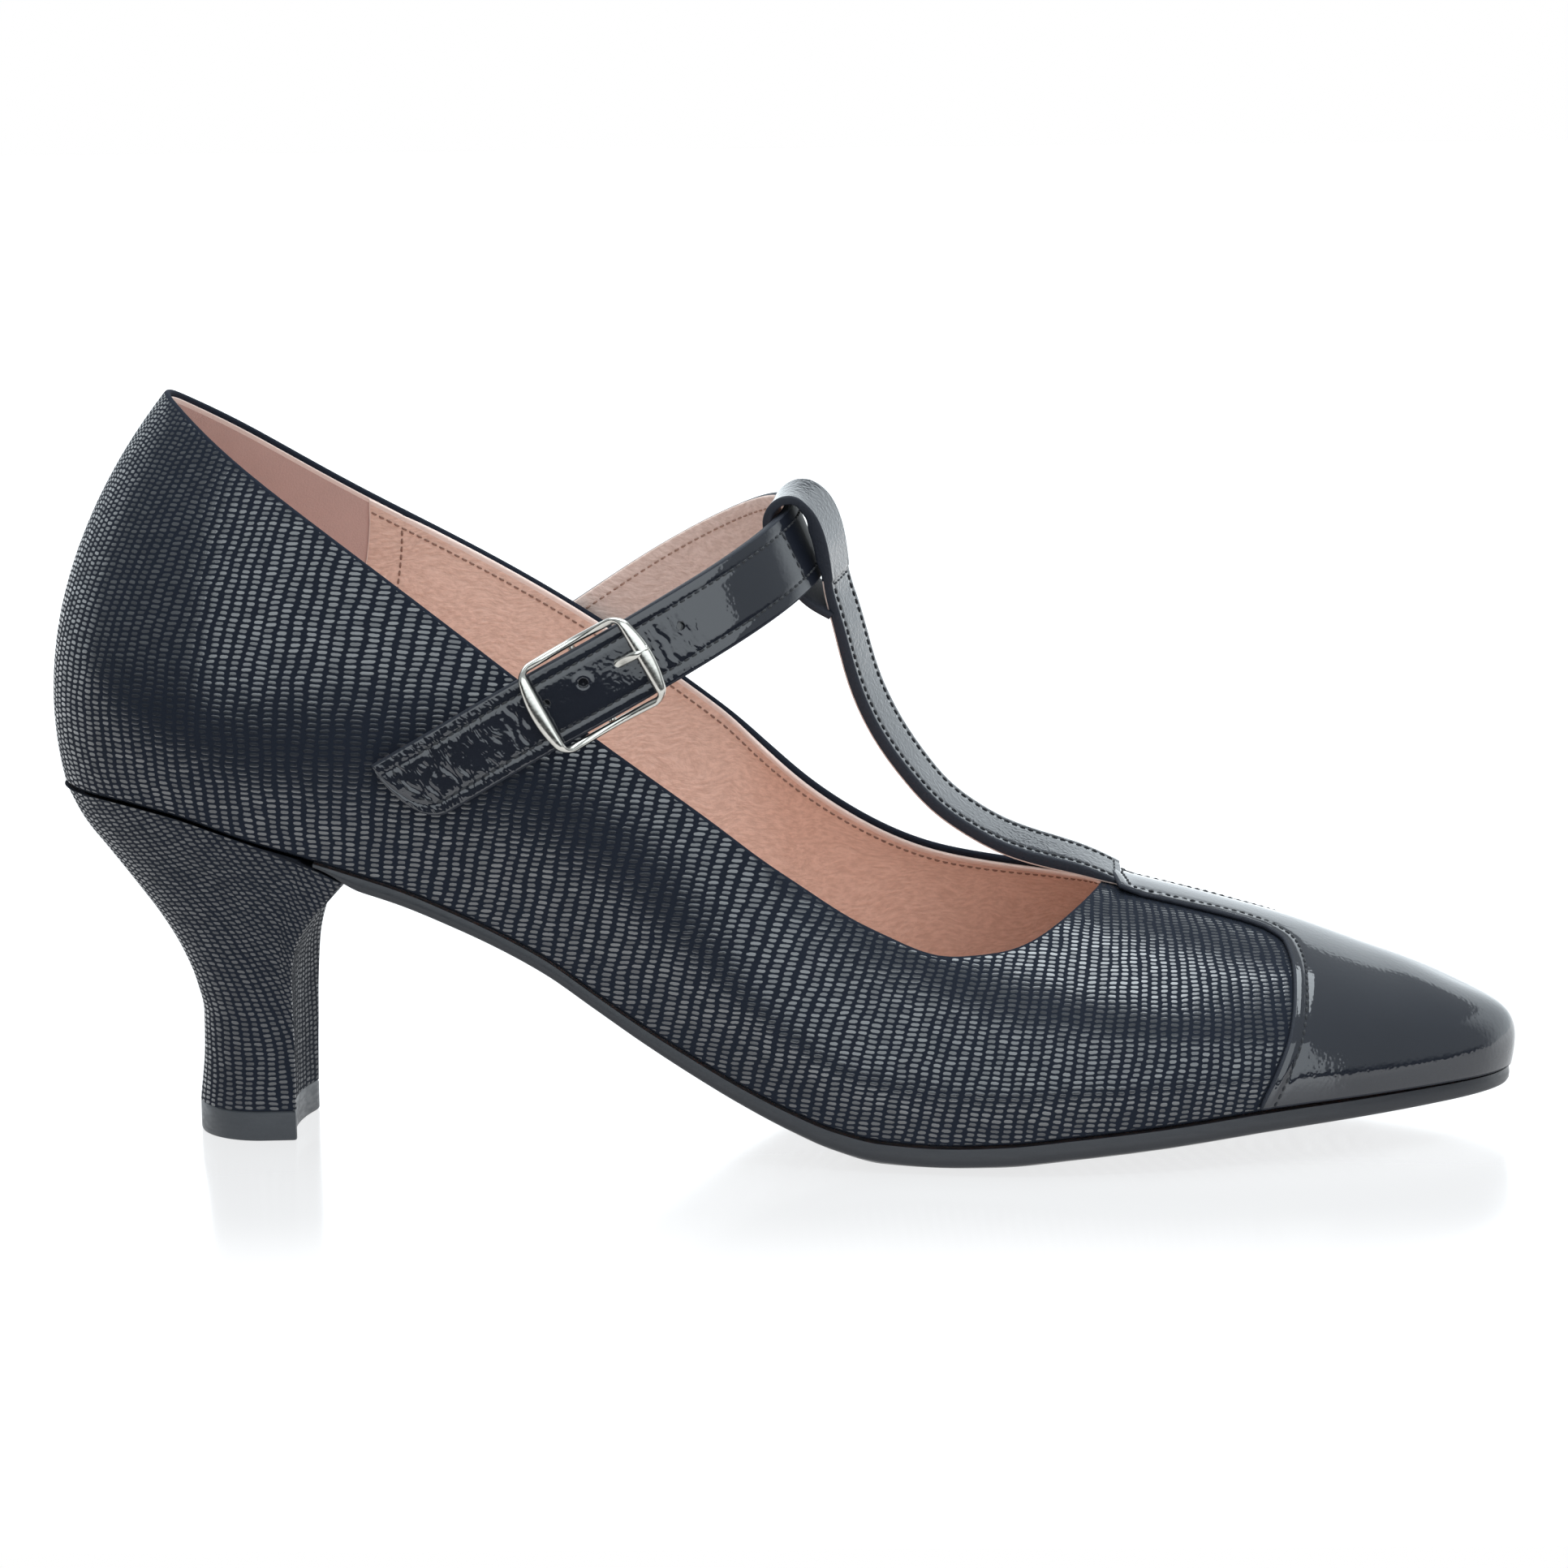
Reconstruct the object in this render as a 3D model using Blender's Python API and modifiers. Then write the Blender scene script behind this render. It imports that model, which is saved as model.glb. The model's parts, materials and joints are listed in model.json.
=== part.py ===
"""A right-foot mary jane pump, in metres, +Z up, toe along +X, outer side along -Y.

Every curved piece comes from one last: short tables give the plan of the foot, its profile, the
topline and the ridge, and smooth curves run through their rows.
"""
import math

import bmesh
import bpy
import numpy as np

MM = 0.001
OBJECT_NAME = "mary_jane_pump"

# Driving sizes in millimetres
WALL = 2.0
GAP = 0.3
INSOLE_THICK = 2.0
INSOLE_INSET = 2.6
INSOLE_LIFT = 0.15
SOLE_OVERHANG = 0.4
SOLE_REAR_X = -77.0
FEATHER_START_X = -69.0
FEATHER_DEPTH = 1.7
HEEL_TIP_HEIGHT = 5.2
BREAST_HOLLOW = 1.9
HEEL_SOLE_GAP = 0.4
CAP_THICK = 1.0
LATERAL = -1
MEDIAL = 1
CORNERS = ((-1, -1), (1, -1), (1, 1), (-1, 1))

# Plan of the feather line: one row a station from heel back to toe tip
PLAN_COLUMNS = ("name", "x", "lateral", "medial", "flare_lat", "flare_med", "rise")
PLAN = (
    ("heel_back", -121.3, 0.0, 0.0, 6.0, 6.0, 25.0),
    ("heel_corner", -115.6, 14.6, 14.2, 5.4, 5.4, 24.0),
    ("heel_side", -102.5, 23.2, 22.4, 4.6, 4.6, 21.0),
    ("breast", -83.0, 26.4, 24.6, 3.4, 3.8, 17.0),
    ("waist_rear", -60.0, 26.0, 21.2, 2.8, 4.6, 14.0),
    ("waist", -36.0, 26.2, 18.8, 2.6, 5.2, 13.0),
    ("waist_front", -13.0, 28.6, 20.4, 3.4, 4.8, 15.0),
    ("joint", 9.0, 33.4, 26.6, 4.4, 4.2, 18.0),
    ("ball", 30.0, 37.4, 33.4, 5.0, 4.2, 21.0),
    ("ball_front", 46.0, 37.8, 36.2, 5.0, 4.2, 22.0),
    ("throat", 59.0, 36.2, 36.4, 4.6, 4.0, 21.0),
    ("vamp", 71.0, 33.0, 34.2, 4.0, 3.6, 19.0),
    ("cap_line", 84.0, 28.2, 30.2, 3.2, 3.0, 16.5),
    ("cap", 97.0, 22.6, 25.0, 2.6, 2.5, 13.5),
    ("toe_side", 109.0, 15.6, 18.2, 2.1, 2.1, 11.2),
    ("toe_corner", 118.4, 8.0, 10.8, 1.8, 1.8, 9.5),
    ("toe_tip", 122.6, -1.2, 1.2, 1.8, 1.8, 9.0),
)
THROAT_ROW = 10

# Upper edge of the quarters from the back of the collar to the joint; lean is the handle below it
TOPLINE_COLUMNS = ("x_lat", "y_lat", "z_lat", "x_med", "y_med", "z_med", "lean_out", "lean_down")
TOPLINE = (
    (-102.3, 0.0, 126.4, -102.3, 0.0, 126.4, 14.0, 17.0),
    (-99.2, -9.0, 124.2, -99.4, 8.6, 124.2, 12.0, 17.5),
    (-89.2, -16.8, 115.9, -90.0, 16.0, 118.2, 8.5, 18.0),
    (-72.0, -23.0, 103.2, -73.6, 21.4, 107.9, 5.5, 16.0),
    (-51.0, -26.0, 87.3, -52.0, 24.0, 95.9, 3.4, 14.0),
    (-30.0, -27.0, 70.9, -31.0, 24.6, 83.0, 2.6, 12.0),
    (-10.0, -26.8, 55.9, -11.0, 24.6, 68.5, 2.6, 11.0),
    (9.0, -25.8, 41.7, 7.0, 24.2, 55.0, 4.0, 10.5),
    (25.0, -23.6, 35.0, 22.5, 22.8, 46.4, 6.5, 8.5),
)
JOINT_START = 6.0
JOINT_END = 8.0

# Height of the rim round the front of the opening, either side
RIM_COLUMNS = ("x", "lateral", "medial")
RIM = (
    (-40.0, 78.9, 89.0),
    (-24.0, 66.4, 78.2),
    (-10.0, 55.9, 67.8),
    (0.0, 48.0, 59.9),
    (9.0, 41.7, 53.6),
    (17.0, 37.8, 48.9),
    (25.0, 35.0, 45.5),
    (32.0, 34.8, 43.9),
    (39.0, 35.7, 43.0),
    (46.0, 38.5, 42.5),
    (52.0, 41.2, 42.1),
    (54.5, 42.0, 42.0),
)

# Ridge of the last: real in front of the throat, open air above the foot behind it
RIDGE_COLUMNS = ("x", "y", "z")
RIDGE = (
    (-26.0, 0.6, 84.0),
    (-2.0, 1.2, 66.0),
    (22.0, 1.8, 53.0),
    (40.0, 2.2, 46.2),
    (54.5, 2.4, 42.0),
    (65.0, 2.6, 39.3),
    (76.0, 2.8, 36.3),
    (87.0, 2.8, 33.0),
    (98.0, 2.4, 29.0),
    (107.0, 1.8, 25.7),
    (113.0, 1.2, 23.0),
)
# Where each station from the joint to the toe meets the ridge, and how far its crown runs out level
CROWN_COLUMNS = ("ridge_x", "crown_lat", "crown_med")
CROWN = (
    (-26.0, 15.0, 15.0),
    (-2.0, 15.5, 15.5),
    (22.0, 16.0, 16.0),
    (40.0, 15.5, 15.5),
    (54.5, 15.0, 15.0),
    (65.0, 14.5, 14.5),
    (77.0, 13.5, 13.5),
    (89.0, 12.0, 12.0),
    (100.0, 10.5, 10.5),
    (108.5, 9.5, 9.5),
    (113.0, 9.0, 9.0),
)

# Side profile of the sole: height of its lower edge, edge thickness and bulge of the tread below it
SOLE_COLUMNS = ("x", "under", "thick", "bulge")
SOLE_PROFILE = (
    (-122.0, 57.9, 2.4, 0.0),
    (-112.0, 57.5, 2.4, 0.0),
    (-101.5, 55.8, 2.4, 0.0),
    (-88.0, 51.5, 2.4, 0.0),
    (-77.0, 48.2, 2.4, 0.0),
    (-71.0, 46.2, 2.4, 0.0),
    (-63.0, 43.4, 2.4, 0.0),
    (-55.0, 39.9, 2.4, 0.0),
    (-47.0, 36.0, 2.4, 0.1),
    (-39.0, 31.4, 2.5, 0.2),
    (-31.5, 26.0, 2.5, 0.4),
    (-23.5, 20.3, 2.6, 0.5),
    (-15.5, 15.1, 2.8, 0.6),
    (-7.5, 10.4, 2.9, 0.8),
    (0.5, 6.4, 3.0, 1.0),
    (8.0, 3.4, 3.1, 1.2),
    (16.0, 1.6, 3.2, 1.6),
    (25.0, 1.2, 3.2, 1.2),
    (36.0, 1.6, 3.2, 1.6),
    (48.0, 2.7, 3.2, 1.5),
    (64.0, 4.0, 3.2, 1.4),
    (80.0, 5.2, 3.2, 1.3),
    (97.0, 6.0, 3.1, 1.1),
    (110.0, 6.4, 2.9, 0.9),
    (124.0, 6.7, 2.6, 0.6),
)
SOLE_BULGE_INSET = 9.0

# Heel: share of the way from tip (0) to seat (1) that back, breast and sides have grown at a level
HEEL_COLUMNS = ("level", "back", "breast", "side")
HEEL_RISE = (
    (0.00, 0.00, 0.00, 0.00),
    (0.17, -0.045, 0.01, 0.05),
    (0.28, -0.05, 0.02, 0.10),
    (0.38, 0.005, 0.02, 0.17),
    (0.485, 0.115, 0.03, 0.27),
    (0.59, 0.275, 0.05, 0.39),
    (0.69, 0.464, 0.13, 0.53),
    (0.795, 0.671, 0.33, 0.68),
    (0.90, 0.874, 0.66, 0.85),
    (1.00, 1.00, 1.00, 1.00),
)
TIP_BACK_X = -100.3
TIP_FRONT_X = {LATERAL: -82.5, MEDIAL: -81.1}
TIP_HALF_WIDTH = 12.0
TIP_ROUND = 11.5
TIP_TAPER = 0.4
SEAT_WIDEST_X = -95.0
# Straight part of the heel's side: place along the seat and share of the tip's straight side
HEEL_SIDE_COLUMNS = ("seat_x", "tip_share")
HEEL_SIDE = (
    (-88.0, 0.30),
    (-79.0, 0.68),
    (-77.6, 0.76),
    (-72.0, 1.00),
)
HEEL_ROUND_POINTS = 9

# Edge of the toe cap and its spine on either side: height share of the wall and station
CAP_COLUMNS = ("share", "station")
CAP_EDGE = (
    (0.02, 11.56),
    (0.12, 11.74),
    (0.26, 11.95),
    (0.45, 12.12),
    (0.62, 12.24),
    (0.73, 12.27),
    (0.80, 12.13),
    (0.83, 11.85),
    (0.84, 11.30),
    (0.848, 10.24),
    (1.00, 10.24),
)
CAP_COLUMN_COUNT = 12

# T strap: centre line from the throat up, over the ankle strap and down behind it to its own back
T_COLUMNS = ("x", "y", "z", "yaw", "tilt", "thick")
T_STRAP = (
    (56.8, 2.4, 42.4, 4.0, 8.0, 0.9),
    (53.4, 2.3, 43.7, 4.0, 9.0, 1.6),
    (50.0, 2.2, 44.9, 4.0, 10.0, 2.0),
    (44.0, 1.8, 46.7, 4.0, 12.0, 2.2),
    (37.6, 1.3, 49.0, 5.0, 13.0, 2.2),
    (31.3, 0.7, 52.6, 8.0, 12.0, 2.2),
    (26.6, 0.2, 56.3, 11.0, 11.0, 2.2),
    (22.2, -0.4, 61.4, 14.0, 10.0, 2.2),
    (18.1, -1.0, 67.4, 16.0, 10.0, 2.2),
    (13.6, -1.9, 77.2, 17.0, 10.0, 2.2),
    (10.7, -2.9, 88.0, 17.0, 10.0, 2.0),
    (9.1, -3.6, 94.3, 16.0, 10.0, 1.7),
    (8.5, -4.2, 99.3, 16.0, 10.0, 1.5),
    (7.5, -4.5, 103.4, 16.0, 10.0, 1.5),
    (5.6, -4.8, 106.8, 16.0, 10.0, 1.5),
    (2.9, -5.0, 108.4, 15.0, 10.0, 1.4),
    (0.3, -5.1, 107.7, 12.0, 10.0, 1.3),
    (-1.2, -5.1, 105.4, 9.0, 10.0, 1.3),
    (-0.6, -5.0, 102.0, 9.0, 10.0, 1.3),
    (0.8, -4.8, 98.2, 9.0, 10.0, 1.3),
    (2.7, -4.5, 94.6, 10.0, 10.0, 1.3),
    (5.2, -4.1, 91.9, 13.0, 10.0, 1.3),
    (8.0, -3.4, 90.1, 15.0, 10.0, 1.3),
)
T_WIDTH = 10.8
T_RINGS = 74

# Ankle strap: centre line from the inner quarter over the instep to the free end, face lean in degrees
ANKLE_COLUMNS = ("x", "y", "z", "lean")
ANKLE_STRAP = (
    (-50.0, 27.3, 69.4, -2.0),
    (-40.0, 27.5, 76.4, 2.0),
    (-29.8, 27.2, 83.2, 5.0),
    (-21.2, 25.7, 88.9, 9.0),
    (-13.2, 22.6, 93.8, 13.0),
    (-5.6, 17.4, 98.0, 17.0),
    (0.6, 9.6, 100.8, 20.0),
    (3.6, 1.4, 101.2, 22.0),
    (3.4, -6.0, 100.3, 22.0),
    (0.0, -14.4, 97.8, 20.0),
    (-7.2, -21.6, 93.4, 15.0),
    (-16.2, -26.4, 88.4, 10.0),
    (-30.4, -29.2, 80.5, 4.0),
    (-42.0, -29.8, 74.2, 3.0),
    (-52.0, -29.8, 68.4, 1.0),
    (-63.4, -29.5, 61.8, 0.0),
)
STRAP_WIDTH = 13.0
STRAP_THICK = 2.0
STRAP_RINGS = 72
STRAP_TIP_SLANT = 7.0

# Buckle: opening, bars and bowed ends; places are along and across the strap from the frame's middle
BUCKLE_PLACE_X = -30.6
BUCKLE_OPENING = (16.7, 13.8)
BUCKLE_BAR = 1.3
BUCKLE_END_BAR = 2.5
BUCKLE_END_BOW = 1.6
BUCKLE_CORNER = 2.2
BUCKLE_INNER_CORNER = 0.6
BAR_FULLNESS = 1.08
BUCKLE_LOW = -1.0
BUCKLE_HIGH = 2.2
CENTRE_BAR = 1.3
PRONG_WIDTH = 1.6
PRONG_THICK = 1.1
PRONG_ACROSS = 0.9
PRONG_START = 5.2
PRONG_END = 10.8

# Mesh density
BACK_COLUMNS = 24
FRONT_COLUMNS = 14
WALL_ROWS = 9
SOLE_STATIONS = 52
THROAT_CROWDING = 1.6
TOE_CROWDING = 1.2


def column(rows, names, name):
    """One named column of a table as an array."""
    index = names.index(name)
    return np.array([row[index] for row in rows], float)


def spline(keys, values, flat_start=False, flat_end=False):
    """Smooth cubic through the rows; a flat end has no slope, a free end no bend."""
    keys = np.asarray(keys, float)
    values = np.asarray(values, float)
    count = len(keys)
    step = np.diff(keys)
    rise = np.diff(values) / step
    matrix = np.zeros((count, count))
    right = np.zeros(count)
    for i in range(1, count - 1):
        matrix[i, i - 1] = step[i]
        matrix[i, i] = 2.0 * (step[i - 1] + step[i])
        matrix[i, i + 1] = step[i - 1]
        right[i] = 3.0 * (step[i] * rise[i - 1] + step[i - 1] * rise[i])
    matrix[0, 0] = 1.0 if flat_start else 2.0
    if not flat_start:
        matrix[0, 1] = 1.0
        right[0] = 3.0 * rise[0]
    matrix[-1, -1] = 1.0 if flat_end else 2.0
    if not flat_end:
        matrix[-1, -2] = 1.0
        right[-1] = 3.0 * rise[-1]
    slope = np.linalg.solve(matrix, right)
    return hermite(keys, values, slope)


def monotone(keys, values):
    """Cubic through the rows that never swings past them."""
    keys = np.asarray(keys, float)
    values = np.asarray(values, float)
    rise = np.diff(values) / np.diff(keys)
    slope = np.zeros(len(keys))
    slope[0] = rise[0]
    slope[-1] = rise[-1]
    for i in range(1, len(keys) - 1):
        if rise[i - 1] * rise[i] > 0.0:
            slope[i] = 2.0 * rise[i - 1] * rise[i] / (rise[i - 1] + rise[i])
    return hermite(keys, values, slope)


def hermite(keys, values, slope):
    """Piecewise cubic from values and slopes."""

    def value(x):
        i = int(np.clip(np.searchsorted(keys, x) - 1, 0, len(keys) - 2))
        h = keys[i + 1] - keys[i]
        s = (min(max(x, keys[0]), keys[-1]) - keys[i]) / h
        a = (1.0 + 2.0 * s) * (1.0 - s) ** 2
        b = s * (1.0 - s) ** 2
        c = s * s * (3.0 - 2.0 * s)
        d = s * s * (s - 1.0)
        return a * values[i] + b * h * slope[i] + c * values[i + 1] + d * h * slope[i + 1]

    return value


STATIONS = np.arange(len(PLAN), dtype=float)
UP = np.array([0.0, 0.0, 1.0])
THROAT = float(THROAT_ROW)
TOE = float(len(PLAN) - 1)

SOLE_X = column(SOLE_PROFILE, SOLE_COLUMNS, "x")
under_at = monotone(SOLE_X, column(SOLE_PROFILE, SOLE_COLUMNS, "under"))
thick_at = monotone(SOLE_X, column(SOLE_PROFILE, SOLE_COLUMNS, "thick"))
bulge_at = monotone(SOLE_X, column(SOLE_PROFILE, SOLE_COLUMNS, "bulge"))
plan_x = spline(STATIONS, column(PLAN, PLAN_COLUMNS, "x"), True, True)
plan_y = {
    LATERAL: spline(STATIONS, -column(PLAN, PLAN_COLUMNS, "lateral")),
    MEDIAL: spline(STATIONS, column(PLAN, PLAN_COLUMNS, "medial")),
}
flare_at = {
    LATERAL: monotone(STATIONS, column(PLAN, PLAN_COLUMNS, "flare_lat")),
    MEDIAL: monotone(STATIONS, column(PLAN, PLAN_COLUMNS, "flare_med")),
}
rise_at = monotone(STATIONS, column(PLAN, PLAN_COLUMNS, "rise"))

BACK_STATIONS = STATIONS[:len(TOPLINE)]
topline_at = {}
for side, tag in ((LATERAL, "lat"), (MEDIAL, "med")):
    topline_at[side] = (
        spline(BACK_STATIONS, column(TOPLINE, TOPLINE_COLUMNS, "x_" + tag), True, False),
        spline(BACK_STATIONS, column(TOPLINE, TOPLINE_COLUMNS, "y_" + tag)),
        spline(BACK_STATIONS, column(TOPLINE, TOPLINE_COLUMNS, "z_" + tag), True, False),
    )
lean_out = monotone(BACK_STATIONS, column(TOPLINE, TOPLINE_COLUMNS, "lean_out"))
lean_down = monotone(BACK_STATIONS, column(TOPLINE, TOPLINE_COLUMNS, "lean_down"))
rim_height = {
    LATERAL: spline(column(RIM, RIM_COLUMNS, "x"), column(RIM, RIM_COLUMNS, "lateral")),
    MEDIAL: spline(column(RIM, RIM_COLUMNS, "x"), column(RIM, RIM_COLUMNS, "medial")),
}

FRONT_STATIONS = STATIONS[-len(CROWN):]
ridge_x = spline(FRONT_STATIONS, column(CROWN, CROWN_COLUMNS, "ridge_x"), False, True)
ridge_y = spline(column(RIDGE, RIDGE_COLUMNS, "x"), column(RIDGE, RIDGE_COLUMNS, "y"))
ridge_z = spline(column(RIDGE, RIDGE_COLUMNS, "x"), column(RIDGE, RIDGE_COLUMNS, "z"))
crown_at = {
    LATERAL: monotone(FRONT_STATIONS, column(CROWN, CROWN_COLUMNS, "crown_lat")),
    MEDIAL: monotone(FRONT_STATIONS, column(CROWN, CROWN_COLUMNS, "crown_med")),
}


def feather_height(x):
    """Height of the line where the upper meets the sole."""
    return under_at(x) + thick_at(x) + GAP


def outward(side, u):
    """Level direction square to the plan of the feather line."""
    low = max(u - 0.01, 0.0)
    high = min(u + 0.01, TOE)
    dx = plan_x(high) - plan_x(low)
    dy = plan_y[side](high) - plan_y[side](low)
    if u <= 0.0 or u >= TOE:
        dx = 0.0
    normal = np.array([-side * dy, side * dx])
    return normal / np.linalg.norm(normal)


def quarter_column(side, u):
    """Control points of the wall behind the joint, from feather line to topline."""
    foot, lower_handle, level = wall_foot(side, u)
    top = np.array([curve(u) for curve in topline_at[side]])
    return foot, lower_handle, top + level * lean_out(u) - UP * lean_down(u), top


def last_column(side, u):
    """Control points of the whole last from feather line to ridge, at the joint and in front of it."""
    foot, lower_handle, level = wall_foot(side, u)
    x = ridge_x(u)
    top = np.array([x, ridge_y(x), ridge_z(x)])
    slope = (ridge_z(x) - ridge_z(x - 0.1)) / 0.1
    reach = crown_at[side](u)
    return foot, lower_handle, top + level * reach + UP * slope * level[0] * reach, top


def wall_foot(side, u):
    """Feather point, the handle above it and the level direction outward."""
    foot = np.array([plan_x(u), plan_y[side](u), 0.0])
    foot[2] = feather_height(foot[0])
    level = np.append(outward(side, u), 0.0)
    return foot, foot + level * flare_at[side](u) + UP * rise_at(u), level


def cut_at_rim(side, points):
    """Part of a column below the rim of the opening, as control points."""
    low = 0.2
    high = 1.0
    for _ in range(40):
        v = 0.5 * (low + high)
        point = wall_point(points, v)
        if point[2] < rim_height[side](point[0]):
            low = v
        else:
            high = v
    a = points[0] + (points[1] - points[0]) * v
    b = points[1] + (points[2] - points[1]) * v
    return points[0], a, a + (b - a) * v, wall_point(points, v)


def wall_column(side, u):
    """Four control points of the upper's wall at one station, feather line to top edge."""
    if u >= THROAT:
        return last_column(side, u)
    if u <= JOINT_START:
        return quarter_column(side, u)
    front = cut_at_rim(side, last_column(side, u))
    if u >= JOINT_END:
        return front
    share = (u - JOINT_START) / (JOINT_END - JOINT_START)
    share = share * share * (3.0 - 2.0 * share)
    back = quarter_column(side, u)
    return tuple(b + (f - b) * share for b, f in zip(back, front))


def wall_point(points, v):
    """Point on a wall column, v from 0 at the feather line to 1 at the top edge."""
    w = 1.0 - v
    low = w ** 3 * points[0] + 3.0 * w * w * v * points[1]
    return low + 3.0 * w * v * v * points[2] + v ** 3 * points[3]


def station_at(x):
    """Station whose feather point lies at x."""
    low = 0.0
    high = TOE
    for _ in range(50):
        middle = 0.5 * (low + high)
        if plan_x(middle) < x:
            low = middle
        else:
            high = middle
    return 0.5 * (low + high)


def outline_point(side, u, offset):
    """Plan point of the feather line moved outward by the offset."""
    return np.array([plan_x(u), plan_y[side](u)]) + outward(side, u) * offset


def sole_under(x):
    """Underside of the sole, thinned to a feather edge over the front of the heel."""
    fade = min(max((FEATHER_START_X - x) / (FEATHER_START_X - SOLE_REAR_X), 0.0), 1.0)
    return under_at(x) + FEATHER_DEPTH * fade * fade * (3.0 - 2.0 * fade)


def new_object(name, verts, faces, material, smooth=True):
    """Mesh object in metres with shared corners merged and faces turned outward."""
    mesh = bpy.data.meshes.new(name)
    mesh.from_pydata([tuple(float(c) * MM for c in vert) for vert in verts], [], faces)
    work = bmesh.new()
    work.from_mesh(mesh)
    bmesh.ops.remove_doubles(work, verts=work.verts, dist=0.00001)
    bmesh.ops.dissolve_degenerate(work, edges=work.edges, dist=0.000005)
    bmesh.ops.recalc_face_normals(work, faces=work.faces)
    work.to_mesh(mesh)
    work.free()
    for polygon in mesh.polygons:
        polygon.use_smooth = smooth
    mesh.materials.append(material)
    item = bpy.data.objects.new(name, mesh)
    collection.objects.link(item)
    return item


def make_material(name, colour, roughness):
    """Plain Principled material."""
    material = bpy.data.materials.new(name)
    material.use_nodes = True
    shader = material.node_tree.nodes["Principled BSDF"]
    shader.inputs["Base Color"].default_value = (*colour, 1.0)
    shader.inputs["Roughness"].default_value = roughness
    return material


def ring_faces(rings, closed=True):
    """Quads between neighbouring rings of equal length, numbered ring by ring."""
    size = len(rings[0])
    faces = []
    for i in range(len(rings) - 1):
        for j in range(size if closed else size - 1):
            k = (j + 1) % size
            faces.append((i * size + j, i * size + k, (i + 1) * size + k, (i + 1) * size + j))
    return faces


def flatten(rings):
    """All points of the rings in one list."""
    return [point for ring in rings for point in ring]


def build_upper(material):
    """Hollow upper: one wall through all stations, open at the topline and underneath."""
    share = np.linspace(0.0, 1.0, BACK_COLUMNS + 1)
    back = THROAT * (1.0 - (1.0 - share) ** THROAT_CROWDING)
    front = THROAT + (TOE - THROAT) * np.linspace(0.0, 1.0, FRONT_COLUMNS + 1)[1:]
    heights = np.linspace(0.0, 1.0, WALL_ROWS + 1)
    rings = []
    ahead = list(back) + list(front)
    for side, stations in ((LATERAL, ahead), (MEDIAL, ahead[-2::-1])):
        for u in stations:
            points = wall_column(side, u)
            rings.append([wall_point(points, v) for v in heights])
    rings.append(rings[0])
    item = new_object("upper", flatten(rings), ring_faces(rings, False), material)
    turn_outward(item)
    shell = item.modifiers.new("wall", "SOLIDIFY")
    shell.thickness = WALL * MM
    shell.offset = -1.0
    shell.use_even_offset = True
    return item


def turn_outward(item):
    """Turn an open wall so that its faces look away from the inside of the foot."""
    mesh = item.data
    if sum(face.area * face.normal.y * face.center.y for face in mesh.polygons) < 0.0:
        mesh.flip_normals()


def sole_stations(start):
    """Stations from the given one to the toe, closer together round the toe."""
    share = np.linspace(0.0, 1.0, SOLE_STATIONS + 1)
    return start + (TOE - start) * (1.0 - (1.0 - share) ** TOE_CROWDING)


def sole_bottom(x):
    """Lowest level of the tread; level with the floor under the ball."""
    return max(sole_under(x) - bulge_at(x), 0.0)


def build_outsole(material):
    """Long sole from under the heel seat to the toe, with a level spot under the ball."""
    rings = []
    for u in sole_stations(station_at(SOLE_REAR_X)):
        ring = []
        for side in (LATERAL, MEDIAL):
            edge = outline_point(side, u, SOLE_OVERHANG)
            width = abs(plan_y[MEDIAL](u) - plan_y[LATERAL](u))
            inner = outline_point(side, u, -min(SOLE_BULGE_INSET, 0.3 * width))
            points = [
                (*edge, feather_height(edge[0]) - GAP),
                (*edge, sole_under(edge[0])),
                (*inner, sole_bottom(inner[0])),
            ]
            ring += points if side == MEDIAL else points[::-1]
        rings.append(ring)
    faces = ring_faces(rings) + [tuple(range(len(rings[0])))]
    return new_object("outsole", flatten(rings), faces, material, False)


def build_insole(material):
    """Footbed inside the wall, resting just above sole and heel seat."""
    share = np.linspace(0.0, 1.0, SOLE_STATIONS + 1)
    stations = TOE * share
    rings = []
    for u in stations:
        lat = outline_point(LATERAL, u, -INSOLE_INSET)
        med = outline_point(MEDIAL, u, -INSOLE_INSET)
        low_lat = feather_height(lat[0]) + INSOLE_LIFT
        low_med = feather_height(med[0]) + INSOLE_LIFT
        rings.append([
            (*lat, low_lat + INSOLE_THICK),
            (*med, low_med + INSOLE_THICK),
            (*med, low_med),
            (*lat, low_lat),
        ])
    return new_object("insole", flatten(rings), ring_faces(rings), material, False)


def heel_outlines(side):
    """Matching outline points of heel tip and heel seat from the back to the front corner."""
    tip = []
    seat = []
    tip_widest = TIP_BACK_X + TIP_ROUND
    seat_back = PLAN[0][1]
    for j in range(HEEL_ROUND_POINTS + 1):
        angle = 0.5 * math.pi * j / HEEL_ROUND_POINTS
        tip.append((
            tip_widest - TIP_ROUND * math.cos(angle),
            side * TIP_HALF_WIDTH * math.sin(angle),
        ))
        u = station_at(seat_back + (SEAT_WIDEST_X - seat_back) * (1.0 - math.cos(angle)))
        seat.append(outline_point(side, u if j else 0.0, 0.0))
    for seat_x, share in HEEL_SIDE:
        x = tip_widest + (TIP_FRONT_X[side] - tip_widest) * share
        tip.append((x, side * (TIP_HALF_WIDTH - TIP_TAPER * share)))
        seat.append(outline_point(side, station_at(seat_x), 0.0))
    return tip, seat


def heel_top(x):
    """Top of the heel: under the sole's end in front, under the upper behind it."""
    behind = HEEL_SIDE[1][0]
    ahead = HEEL_SIDE[2][0]
    step = min(max((x - behind) / (ahead - behind), 0.0), 1.0)
    return (1.0 - step) * (feather_height(x) - GAP) + step * (sole_bottom(x) - HEEL_SOLE_GAP)


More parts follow.
